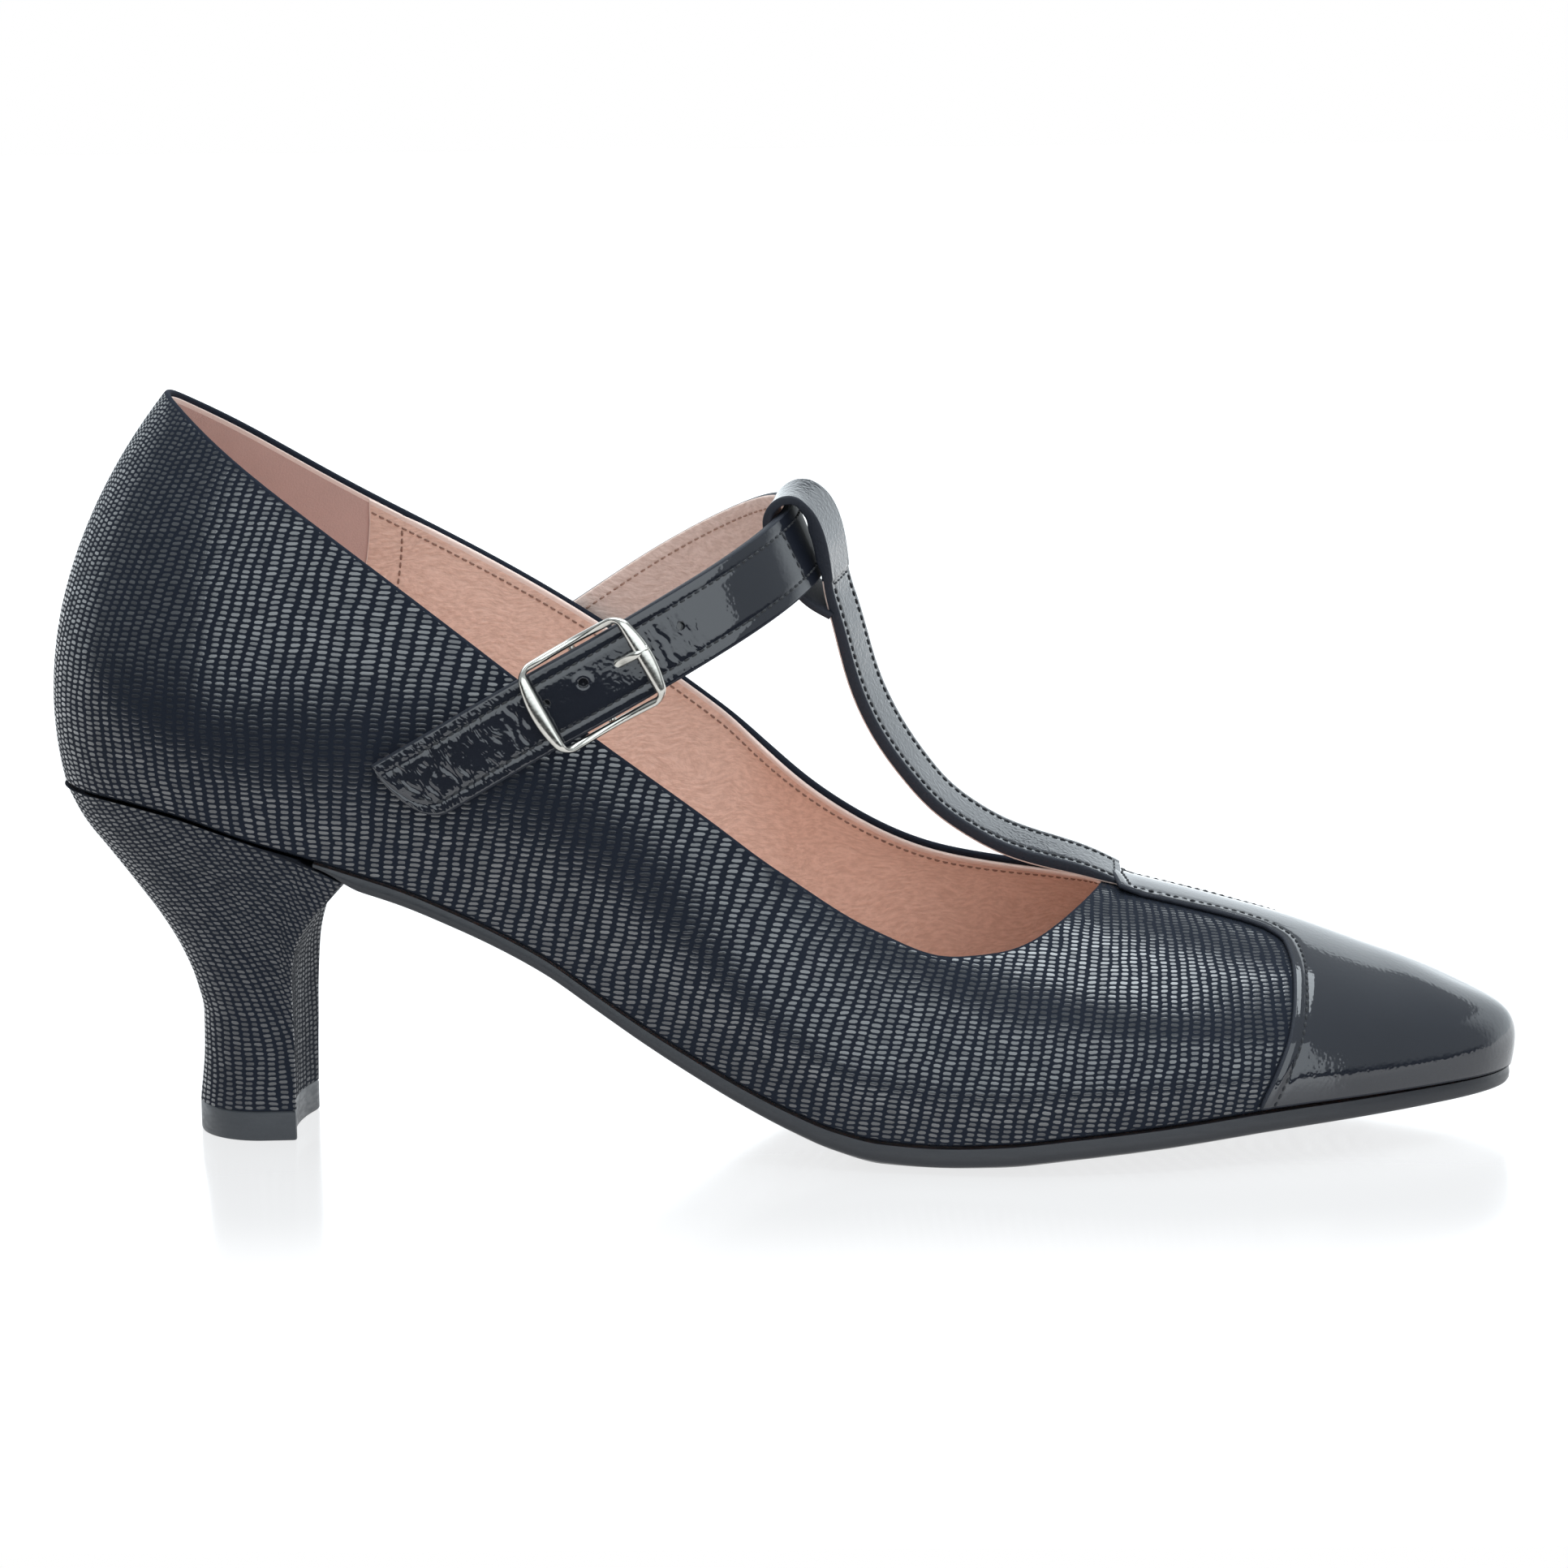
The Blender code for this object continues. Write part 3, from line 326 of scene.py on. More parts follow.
# Buckle: opening along and across the strap, bars, bow of the ends and height of the curved frame
BUCKLE_PLACE_X = -30.6
BUCKLE_OPENING = (16.7, 13.8)
BUCKLE_BAR = 1.3
BUCKLE_END_BAR = 2.5
BUCKLE_END_BOW = 1.6
BUCKLE_CORNER = 2.2
BUCKLE_INNER_CORNER = 0.6
BAR_FULLNESS = 1.08
BUCKLE_LOW = -1.0
BUCKLE_HIGH = 2.2
CENTRE_BAR = 1.3
PRONG_WIDTH = 1.6
PRONG_THICK = 1.1
PRONG_ACROSS = 0.9
PRONG_START = 5.2
PRONG_END = 10.8

# Creases across the ankle strap: place from the buckle's middle (towards the toe is plus), slant,
# depth, width, wave and where the crease runs across the strap
CREASES = Table(
    "place slant depth width wave low high",
    (-35.4, 0.30, 0.10, 0.42, 0.5, -4.6, 1.0),
    (-33.6, -0.15, 0.13, 0.40, 1.2, -2.0, 4.4),
    (-32.9, 0.34, 0.12, 0.46, 0.6, -4.6, 0.6),
    (-30.6, 0.10, 0.14, 0.38, 1.4, -4.6, 3.2),
    (-29.5, 0.42, 0.11, 0.44, 0.5, -0.4, 4.6),
    (-27.2, -0.10, 0.13, 0.40, 1.1, -4.4, 1.6),
    (-26.6, 0.34, 0.08, 0.46, 0.6, 0.6, 4.2),
    (-24.3, 0.22, 0.12, 0.38, 1.3, -4.6, 2.4),
    (-20.4, 0.36, 0.07, 0.42, 0.8, -4.6, -0.6),
    (-14.6, 0.26, 0.10, 0.46, 0.5, -3.8, 4.6),
    (-13.4, 0.08, 0.13, 0.40, 0.9, -4.6, 3.6),
    (-12.1, 0.30, 0.10, 0.46, 0.6, -1.6, 4.0),
    (12.4, 0.20, 0.09, 0.46, 0.6, -4.4, 4.6),
    (13.7, -0.10, 0.11, 0.42, 0.8, -4.6, 2.6),
    (15.2, 0.16, 0.10, 0.40, 0.6, -1.6, 4.6),
    (17.4, -0.06, 0.08, 0.46, 0.9, -4.6, 3.4),
    (19.8, 0.20, 0.06, 0.42, 0.6, -4.6, 1.8),
)
# Punched holes in the ankle strap, from the buckle's middle, and the ring that a pin has pressed
HOLES = Table(
    "place across radius ring",
    (-7.8, 0.9, 0.60, 0.0),
    (-1.0, 0.9, 0.80, 1.25),
    (5.7, 0.9, 0.80, 0.0),
    (17.1, 0.9, 0.70, 0.0),
)
HOLE_DEPTH = 1.3
RING_LIFT = 0.12
RING_WIDTH = 0.35

# Textile repeat: columns of glossy blocks, their lean and how rows fall towards the toe
WEAVE_LEAN = 0.23
WEAVE_FALL = 0.07
SEAT_LEAN = 0.43
SEAT_LEAN_HEIGHT = 30.0
SEAT_LEAN_END = (2.5, 2.0)
INNER_LANES = 501.0
LANE_WANDER = (1.3, 0.9, 0.0)
# Foil blocks, in shares of their lane and row, and how they differ from lane to lane and block to block
BLOCK_HALF_WIDTH = 0.265
BLOCK_LANE_SPREAD = 0.09
BLOCK_SPREAD = 0.06
BLOCK_MIDDLE = 0.46
BLOCK_SLIP = 0.08
BLOCK_HALF_LENGTH = 0.31
BLOCK_SIDES = 3.6
BLOCK_ENDS = 2.4
BLOCK_GLOSS_SPREAD = 0.45
CHANCE_SPLIT = 7.0

# Wrinkles of the lacquer and the lining, shade painted into the lining's hollows, and the coat left off the
# ankle strap round the T strap's loop as painted shade
WRINKLE_BEND = (3.4, 3.4, 0.0)
WRINKLE_LEAST = 0.04
WRINKLE_CORE = 0.55
SHADED_FADE = 3.0
SHADED_COAT = 0.06
LINING_BEND = (0.006, 0.006, 0.006)
LINING_DRAW = (0.5, 0.8, 1.35)
LINING_TURN = (0.0, 0.45, 0.0)
LINING_HOLLOW_SHADE = (0.66, 0.58, 0.54)


def hermite(keys, values, slope):
    """Piecewise cubic from values and slopes."""

    def value(x):
        x = np.clip(x, keys[0], keys[-1])
        i = np.clip(np.searchsorted(keys, x) - 1, 0, len(keys) - 2)
        h = keys[i + 1] - keys[i]
        s = (x - keys[i]) / h
        a = (1.0 + 2.0 * s) * (1.0 - s) ** 2
        b = s * (1.0 - s) ** 2
        c = s * s * (3.0 - 2.0 * s)
        d = s * s * (s - 1.0)
        return a * values[i] + b * h * slope[i] + c * values[i + 1] + d * h * slope[i + 1]

    return value


def spline(keys, values, flat_start=False, flat_end=False):
    """Smooth cubic through the rows; a flat end has no slope, a free end no bend."""
    keys = np.asarray(keys, float)
    values = np.asarray(values, float)
    count = len(keys)
    step = np.diff(keys)
    rise = np.diff(values) / step
    matrix = np.zeros((count, count))
    right = np.zeros(count)
    for i in range(1, count - 1):
        matrix[i, i - 1:i + 2] = step[i], 2.0 * (step[i - 1] + step[i]), step[i - 1]
        right[i] = 3.0 * (step[i] * rise[i - 1] + step[i - 1] * rise[i])
    matrix[0, 0] = 1.0 if flat_start else 2.0
    if not flat_start:
        matrix[0, 1] = 1.0
        right[0] = 3.0 * rise[0]
    matrix[-1, -1] = 1.0 if flat_end else 2.0
    if not flat_end:
        matrix[-1, -2] = 1.0
        right[-1] = 3.0 * rise[-1]
    return hermite(keys, values, np.linalg.solve(matrix, right))


def monotone(keys, values):
    """Cubic through the rows that never swings past them."""
    keys = np.asarray(keys, float)
    values = np.asarray(values, float)
    rise = np.diff(values) / np.diff(keys)
    slope = np.zeros(len(keys))
    slope[[0, -1]] = rise[[0, -1]]
    for i in range(1, len(keys) - 1):
        if rise[i - 1] * rise[i] > 0.0:
            slope[i] = 2.0 * rise[i - 1] * rise[i] / (rise[i - 1] + rise[i])
    return hermite(keys, values, slope)


def smooth(share):
    """Eased step from 0 to 1."""
    share = np.clip(share, 0.0, 1.0)
    return share * share * (3.0 - 2.0 * share)


def rolled(distance, radius):
    """How far a rounded edge stands back at a distance from its end."""
    left = radius - np.clip(distance, 0.0, radius)
    return radius - np.sqrt(radius ** 2 - left ** 2)


def unit(vector):
    """Vector of length one."""
    return vector / max(np.linalg.norm(vector), 1e-12)


def run_lengths(points):
    """Length along a broken line at each of its points."""
    return np.append(0.0, np.cumsum(np.linalg.norm(np.diff(points, axis=0), axis=1)))


def line_point(lengths, points, s):
    """Point of a broken line at a length along it."""
    return np.array([np.interp(s, lengths, points[:, k]) for k in range(3)])


def turns(count):
    """Even angles round a circle."""
    return [2.0 * math.pi * k / count for k in range(count)]


STATIONS = np.arange(len(PLAN.rows), dtype=float)
SOLE_X = SOLE_PROFILE["x"]
under_at = monotone(SOLE_X, SOLE_PROFILE["under"])
thick_at = monotone(SOLE_X, SOLE_PROFILE["thick"])
bulge_at = monotone(SOLE_X, SOLE_PROFILE["bulge"])
plan_x = spline(STATIONS, PLAN["x"], True, True)
plan_y = {
    LATERAL: spline(STATIONS, -PLAN["lateral"]),
    MEDIAL: spline(STATIONS, PLAN["medial"]),
}
flare_at = {
    LATERAL: monotone(STATIONS, PLAN["flare_lat"]),
    MEDIAL: monotone(STATIONS, PLAN["flare_med"]),
}
rise_at = monotone(STATIONS, PLAN["rise"])
BACK_STATIONS = STATIONS[:len(TOPLINE.rows)]
topline_at = {}
for side, tag in ((LATERAL, "lat"), (MEDIAL, "med")):
    topline_at[side] = (
        spline(BACK_STATIONS, TOPLINE["x_" + tag], True, False),
        spline(BACK_STATIONS, TOPLINE["y_" + tag]),
        spline(BACK_STATIONS, TOPLINE["z_" + tag], True, False),
    )
lean_out = monotone(BACK_STATIONS, TOPLINE["lean_out"])
lean_down = monotone(BACK_STATIONS, TOPLINE["lean_down"])
rim_height = {
    LATERAL: spline(RIM["x"], RIM["lateral"]),
    MEDIAL: spline(RIM["x"], RIM["medial"]),
}
FRONT_STATIONS = STATIONS[-len(CROWN.rows):]
ridge_x = spline(FRONT_STATIONS, CROWN["ridge_x"], False, True)
ridge_y = spline(RIDGE["x"], RIDGE["y"])
ridge_z = spline(RIDGE["x"], RIDGE["z"])
crown_at = monotone(FRONT_STATIONS, CROWN["crown"])
HEEL_GROW = [
    monotone(HEEL_RISE["level"], HEEL_RISE[name])
    for name in ("back", "breast", "side")
]


# Small steps along the curves that give their directions, and how finely they are searched
STATION_SIGHT = 0.01
RIDGE_SIGHT = 0.1
PATH_SIGHT = 0.05
PATH_END = 0.06
RIM_LEAST = 0.2
RIM_HALVINGS = 30
STATION_HALVINGS = 40
PLAN_SAMPLES = 600
STRAP_SAMPLES = 2000


def feather_height(x):
    """Height of the line where the upper meets the sole."""
    return under_at(x) + thick_at(x) + GAP


def outward(side, u):
    """Level direction square to the plan of the feather line."""
    low = max(u - STATION_SIGHT, 0.0)
    high = min(u + STATION_SIGHT, TOE)
    dx = plan_x(high) - plan_x(low)
    dy = plan_y[side](high) - plan_y[side](low)
    if u <= 0.0 or u >= TOE:
        dx = 0.0
    normal = np.array([-side * dy, side * dx])
    return normal / np.linalg.norm(normal)


def wall_foot(side, u):
    """Feather point, the handle above it and the level direction outward."""
    foot = np.array([plan_x(u), plan_y[side](u), 0.0])
    foot[2] = feather_height(foot[0])
    level = np.append(outward(side, u), 0.0)
    return foot, foot + level * flare_at[side](u) + UP * rise_at(u), level


def quarter_column(side, u):
    """Control points of the wall behind the joint, from feather line to topline."""
    foot, lower_handle, level = wall_foot(side, u)
    top = np.array([curve(u) for curve in topline_at[side]])
    return foot, lower_handle, top + level * lean_out(u) - UP * lean_down(u), top


def last_column(side, u):
    """Control points of the whole last from feather line to ridge, at the joint and in front of it."""
    foot, lower_handle, level = wall_foot(side, u)
    x = ridge_x(u)
    top = np.array([x, ridge_y(x), ridge_z(x)])
    slope = (ridge_z(x) - ridge_z(x - RIDGE_SIGHT)) / RIDGE_SIGHT
    reach = crown_at(u)
    return foot, lower_handle, top + level * reach + UP * slope * level[0] * reach, top


def wall_point(points, v):
    """Point on a wall column, v from 0 at the feather line to 1 at the top edge."""
    w = 1.0 - v
    low = w ** 3 * points[0] + 3.0 * w * w * v * points[1]
    return low + 3.0 * w * v * v * points[2] + v ** 3 * points[3]


def cut_at_rim(side, points):
    """Part of a column below the rim of the opening, as control points."""
    low = RIM_LEAST
    high = 1.0
    for _ in range(RIM_HALVINGS):
        v = 0.5 * (low + high)
        point = wall_point(points, v)
        if point[2] < rim_height[side](point[0]):
            low = v
        else:
            high = v
    a = points[0] + (points[1] - points[0]) * v
    b = points[1] + (points[2] - points[1]) * v
    return points[0], a, a + (b - a) * v, wall_point(points, v)


def wall_column(side, u):
    """Four control points of the upper's wall at one station, feather line to top edge."""
    if u >= THROAT:
        return last_column(side, u)
    if u <= JOINT_START:
        return quarter_column(side, u)
    front = cut_at_rim(side, last_column(side, u))
    if u >= JOINT_END:
        return front
    share = smooth((u - JOINT_START) / (JOINT_END - JOINT_START))
    back = quarter_column(side, u)
    return tuple(b + (f - b) * share for b, f in zip(back, front))


def station_at(x):
    """Station whose feather point lies at x."""
    low = 0.0
    high = TOE
    for _ in range(STATION_HALVINGS):
        middle = 0.5 * (low + high)
        if plan_x(middle) < x:
            low = middle
        else:
            high = middle
    return 0.5 * (low + high)


def outline_point(side, u, offset):
    """Plan point of the feather line moved outward by the offset."""
    return np.array([plan_x(u), plan_y[side](u)]) + outward(side, u) * offset


def sole_under(x):
    """Underside of the sole's edge, thinned over the front of the heel."""
    fade = smooth((FEATHER_START_X - x) / (FEATHER_START_X - SOLE_REAR_X))
    return under_at(x) + FEATHER_DEPTH * fade


def sole_bottom(x):
    """Lowest level of the tread; level with the floor under the ball."""
    return np.maximum(sole_under(x) - bulge_at(x), 0.0)


def plan_lengths(side):
    """Length along the feather line from the heel back, as a function of the station."""
    stations = np.linspace(0.0, TOE, PLAN_SAMPLES)
    points = np.stack([plan_x(stations), plan_y[side](stations)], axis=1)
    length = run_lengths(points)
    return lambda u: np.interp(u, stations, length)


plan_length = {LATERAL: plan_lengths(LATERAL), MEDIAL: plan_lengths(MEDIAL)}


def path_splines(route):
    """Splines of all columns along the path's own length, and that length."""
    length = run_lengths(np.stack([route["x"], route["y"], route["z"]], axis=1))
    return {name: spline(length, route[name]) for name in route.names}, length[-1]


def path_point(curves, s):
    """Point of a path."""
    return np.array([curves[name](s) for name in ("x", "y", "z")])


def path_tangent(curves, s):
    """Unit direction of a path."""
    return unit(path_point(curves, s + PATH_SIGHT) - path_point(curves, s - PATH_SIGHT))


T_PATH, T_LENGTH = path_splines(T_STRAP)
ANKLE_PATH, ANKLE_LENGTH = path_splines(ANKLE_STRAP)


def buckle_place():
    """Length along the ankle strap where the buckle's middle lies, on the outer side."""
    places = np.linspace(0.0, ANKLE_LENGTH, STRAP_SAMPLES)
    distance = np.abs(ANKLE_PATH["x"](places) - BUCKLE_PLACE_X)
    distance[ANKLE_PATH["y"](places) > 0.0] = np.inf
    return places[int(np.argmin(distance))]


BUCKLE_S = buckle_place()


def t_frame(s):
    """Centre, width and face directions of the T strap."""
    s = min(max(s, PATH_END), T_LENGTH - PATH_END)
    yaw = math.radians(T_PATH["yaw"](s))
    tilt = math.radians(T_PATH["tilt"](s))
    ahead = path_tangent(T_PATH, s)
    width = np.array([math.cos(tilt) * math.sin(yaw), math.cos(tilt) * math.cos(yaw), math.sin(tilt)])
    width = unit(width - ahead * width.dot(ahead))
    return path_point(T_PATH, s), width, np.cross(width, ahead)


def ankle_frame(s):
    """Centre, width and outward face directions of the ankle strap."""
    s = min(max(s, PATH_END), ANKLE_LENGTH - PATH_END)
    lean = math.radians(ANKLE_PATH["lean"](s))
    ahead = path_tangent(ANKLE_PATH, s)
    level = unit(np.array([-ahead[1], ahead[0], 0.0]))
    face = math.cos(lean) * level + np.array([0.0, 0.0, math.sin(lean)])
    face = unit(face - ahead * face.dot(ahead))
    return path_point(ANKLE_PATH, s), np.cross(ahead, face), face


def buckle_point(along, across, height):
    """Point of the buckle from its place along, across and above the strap's middle."""
    centre, width, face = ankle_frame(BUCKLE_S - along)
    return centre + width * across + face * height


# Faces whose lanes lie further apart than this take those of one side, millimetres
LANE_BREAK = 100.0
# Points nearer than this are one, and edges shorter than this go, metres
SAME_POINT = 0.00001
NO_LENGTH = 0.000002


class Mesh:
    """Faces gathered for one piece, each with a finish number and flat coordinates."""

    def __init__(self):
        self.points = []
        self.faces = []
        self.finish = []
        self.flat = []

    def add(self, points):
        """Take points and return the number of the first one."""
        start = len(self.points)
        self.points.extend(points)
        return start

    def face(self, corners, finish=0, flat=None):
        """Take one face."""
        self.faces.append(tuple(int(c) for c in corners))
        self.finish.append(finish)
        self.flat.append(flat)

    def rings(self, rings, finish=0, flat=None, caps=None):
        """Faces between neighbouring rings; finish is a number or a list of lists, ring by segment."""
        size = len(rings[0])
        start = self.add([point for ring in rings for point in ring])
        for i in range(len(rings) - 1):
            for j in range(size):
                k = (j + 1) % size
                a = start + i * size
                corners = (a + j, a + k, a + size + k, a + size + j)
                kind = finish[i][j] if isinstance(finish, list) else finish
                spots = None
                if flat is not None:
                    spots = [flat[i][j], flat[i][k], flat[i + 1][k], flat[i + 1][j]]
                    if abs(spots[0][0] - spots[1][0]) > LANE_BREAK:
                        spots[0] = spots[1]
                        spots[3] = spots[2]
                self.face(corners, kind, spots)
        if caps is not None:
            self.face([start + j for j in range(size)][::-1], caps)
            self.face([start + (len(rings) - 1) * size + j for j in range(size)], caps)

    def solid(self, name, crease):
        """Make the object, smooth-shaded with true edges kept."""
        used = np.unique(np.concatenate([np.array(face) for face in self.faces]))
        number = np.full(len(self.points), -1)
        number[used] = np.arange(len(used))
        points = np.asarray(self.points)[used] * MM
        mesh = bpy.data.meshes.new(name)
        faces = [tuple(int(number[c]) for c in face) for face in self.faces]
        mesh.from_pydata([tuple(p) for p in points.tolist()], [], faces)
        layer = mesh.uv_layers.new(name="flat")
        for polygon, kind, flat in zip(mesh.polygons, self.finish, self.flat):
            polygon.material_index = kind
            if flat is not None:
                for loop, spot in zip(polygon.loop_indices, flat):
                    layer.data[loop].uv = (float(spot[0]), float(spot[1]))
        work = bmesh.new()
        work.from_mesh(mesh)
        bmesh.ops.remove_doubles(work, verts=work.verts, dist=SAME_POINT)
        bmesh.ops.dissolve_degenerate(work, edges=work.edges, dist=NO_LENGTH)
        bmesh.ops.recalc_face_normals(work, faces=work.faces)
        work.to_mesh(mesh)
        work.free()
        for polygon in mesh.polygons:
            polygon.use_smooth = True
        mesh.set_sharp_from_angle(angle=math.radians(crease))
        item = bpy.data.objects.new(name, mesh)
        bpy.context.scene.collection.objects.link(item)
        return item

    def build(self, name, finishes, nodes=(), crease=50.0):
        """Make the piece with its finishes, riding on the one body."""
        item = self.solid(name, crease)
        for finish in finishes:
            item.data.materials.append(finish)
        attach(item, BODY)
        if nodes:
            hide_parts(*nodes)
        return item


def vertex_normals(points, faces):
    """Normals of the points from the faces round them, larger faces counting more."""
    normals = np.zeros_like(points)
    quads = np.asarray(faces)
    across = np.cross(points[quads[:, 2]] - points[quads[:, 0]], points[quads[:, 3]] - points[quads[:, 1]])
    for k in range(4):
        np.add.at(normals, quads[:, k], across)
    return normals / np.maximum(np.linalg.norm(normals, axis=1), 1e-12)[:, None]


def thicken(piece, points, normals, faces, low, high, flat, finish, bulge=None, steps=5, trim=0):
    """Closed layer over an open sheet of quads: both sides and a rounded edge between them.

    Every face whose number ends a run of the given length takes the edge's finish.
    """
    count = len(points)
    low = np.broadcast_to(low, count)
    high = np.broadcast_to(high, count)
    top = piece.add(list(points + normals * high[:, None]))
    bottom = piece.add(list(points + normals * low[:, None]))
    owner = {}
    for number, (face, spots) in enumerate(zip(faces, flat)):
        last = trim and number % trim == trim - 1
        piece.face([top + c for c in face], finish[0], spots)
        piece.face([bottom + c for c in face[::-1]], finish[1 if last else 2], spots[::-1])
        for a, b in zip(face, face[1:] + face[:1]):
            if a != b:
                owner[(a, b)] = 1
    border = [edge for edge in owner if (edge[1], edge[0]) not in owner]
    out = np.zeros((count, 3))
    for a, b in border:
        side = np.cross(unit(points[b] - points[a]), normals[a] + normals[b])
        out[a] += side
        out[b] += side
    half = 0.5 * (high - low)
    middle = 0.5 * (high + low)
    arcs = {}
    for a in {corner for edge in border for corner in edge}:
        reach = half[a] * (1.0 if bulge is None else bulge[a])
        side = unit(out[a])
        curve = []
        for k in range(steps):
            turn = math.pi * (k + 1) / (steps + 1)
            across = middle[a] + half[a] * math.cos(turn)
            curve.append(points[a] + normals[a] * across + side * reach * math.sin(turn))
        start = piece.add(curve)
        arcs[a] = [top + a] + [start + k for k in range(steps)] + [bottom + a]
    for a, b in border:
        for k in range(steps + 1):
            piece.face((arcs[b][k], arcs[a][k], arcs[a][k + 1], arcs[b][k + 1]), finish[1])


class Wall:
    """Outer surface of the upper as a closed ring of columns, heel to toe and back."""

    CROWDING = 1.6
    DROP_FADE = 0.5
    FEATHER_ROUND = 0.05

    def __init__(self, back, front, rows, drop, trim=0.0):
        share = np.linspace(0.0, 1.0, back + 1)
        ahead = list(THROAT * (1.0 - (1.0 - share) ** self.CROWDING))
        ahead += list(THROAT + (TOE - THROAT) * np.linspace(0.0, 1.0, front + 1)[1:])
        self.rows = rows
        self.trim = trim
        self.throat = back
        self.toe = len(ahead) - 1
        self.size = 2 * self.toe
        self.places = [(LATERAL, u) for u in ahead] + [(MEDIAL, u) for u in ahead[-2:0:-1]]
        self.points = np.array([self.column_points(side, u, drop) for side, u in self.places])
        self.weave = np.array([self.column_weave(c) for c in range(self.size)])
        self.faces = []
        self.flat = []
        for c in range(self.size):
            for r in range(rows):
                corners = ((c, r), (c + 1, r), (c + 1, r + 1), (c, r + 1))
                self.faces.append(tuple(self.index(a, b) for a, b in corners))
                self.flat.append([self.weave[a % self.size][b] for a, b in corners])
        self.all = self.points.reshape(-1, 3)
        self.normals = vertex_normals(self.all, self.faces)

    def column_points(self, side, u, drop):
        """Points of one column, stopping a little below the top edge behind the throat."""
        controls = wall_column(side, u)
        shares = np.linspace(0.0, 1.0, self.rows + 1)[:, None] ** ROW_BIAS
        points = wall_point(controls, shares)
        length = run_lengths(points)[-1]
        fade = 1.0 - smooth((u - THROAT + self.DROP_FADE) / self.DROP_FADE)
        if self.trim:
            shares[-2] = 1.0 - self.trim / length
        points = wall_point(controls, shares * (1.0 - drop * fade / length))
        level = np.append(outward(side, u), 0.0)
        return points - level * rolled(points[:, 2] - points[0][2], EDGE_ROLL)[:, None]

    def column_weave(self, c):
        """Flat coordinates of the textile along one column, in millimetres."""
        side, u = self.places[c]
        points = self.points[c]
        normal = np.append(outward(side, u), 0.0)
        ahead = np.array([normal[1], -normal[0], 0.0])
        if ahead[0] < 0.0:
            ahead = -ahead
        step = np.diff(points, axis=0)
        forward = step @ ahead
        along = np.append(0.0, np.cumsum(forward))
        upward = np.sqrt(np.maximum((step ** 2).sum(1) - forward ** 2, 0.0))
        rise = np.append(0.0, np.cumsum(upward))
        length = plan_length[side](u)
        low = np.minimum(rise, SEAT_LEAN_HEIGHT)
        lean = SEAT_LEAN * (1.0 - smooth((u - SEAT_LEAN_END[0]) / SEAT_LEAN_END[1]))
        turn = lean * (low - 0.5 * low * low / SEAT_LEAN_HEIGHT)
        across = length + along - WEAVE_LEAN * rise + turn
        if side == MEDIAL:
            across = across + INNER_LANES
        return np.stack([across, points[0][2] + rise + WEAVE_FALL * length], axis=1)

    def index(self, c, r):
        """Number of a point; both sides share the ridge in front of the throat."""
        c %= self.size
        if r == self.rows and self.toe < c <= self.size - self.throat:
            c = self.size - c
        return c * (self.rows + 1) + r

    def run(self, first, last):
        """Faces of a run of columns with their flat coordinates."""
        faces = []
        flat = []
        for c in range(first, last):
            for r in range(self.rows):
                faces.append(self.faces[(c % self.size) * self.rows + r])
                flat.append(self.flat[(c % self.size) * self.rows + r])
        return faces, flat

    def bulge(self):
        """Roundness of the edge at each point: none along the feather line."""
        rounded = np.ones(len(self.all))
        rounded[::self.rows + 1] = self.FEATHER_ROUND
        return rounded

    def column_at(self, u):
        """Outer-side column nearest a station."""
        return int(np.argmin([abs(place[1] - u) for place in self.places[:self.toe + 1]]))

    def below_top(self, c, distance):
        """Point and normal on a column at a distance below its top edge."""
        c %= self.size
        points = self.points[c][::-1]
        numbers = [self.index(c, r) for r in range(self.rows, -1, -1)]
        length = run_lengths(points)
        normal = line_point(length, self.normals[numbers], distance)
        return line_point(length, points, distance), unit(normal)


# Stitch from end to end: share of its length, share of the thread's radius and lift in radii
STITCH_SHAPE = (
    (0.00, 0.35, -0.55),
    (0.12, 0.85, 0.15),
    (0.50, 1.00, 0.50),
    (0.88, 0.85, 0.15),
    (1.00, 0.35, -0.55),
)
STITCH_SIDES = 6
STITCH_SIGHT = 0.2


def sew(piece, path, facing, sizes, radius=None):
    """Row of stitches along a path lying on a face that looks along facing."""
    path = np.asarray(path)
    facing = np.asarray(facing)
    radius = radius or sizes.thread / MM
    gap = sizes.stitch_gap / MM
    places = run_lengths(path)
    count = max(int(places[-1] // (sizes.stitch_length / MM + gap)), 1)
    pitch = places[-1] / count
    for k in range(count):
        rings = []
        for share, size, lift in STITCH_SHAPE:
            s = k * pitch + 0.5 * gap + share * (pitch - gap)
            face = unit(line_point(places, facing, s))
            ahead = line_point(places, path, s + STITCH_SIGHT) - line_point(places, path, s - STITCH_SIGHT)
            side = unit(np.cross(ahead, face))
            point = line_point(places, path, s) + face * lift * radius
            rings.append([
                point + size * radius * (side * math.cos(a) + face * math.sin(a))
                for a in turns(STITCH_SIDES)
            ])
        piece.rings(rings, caps=0)


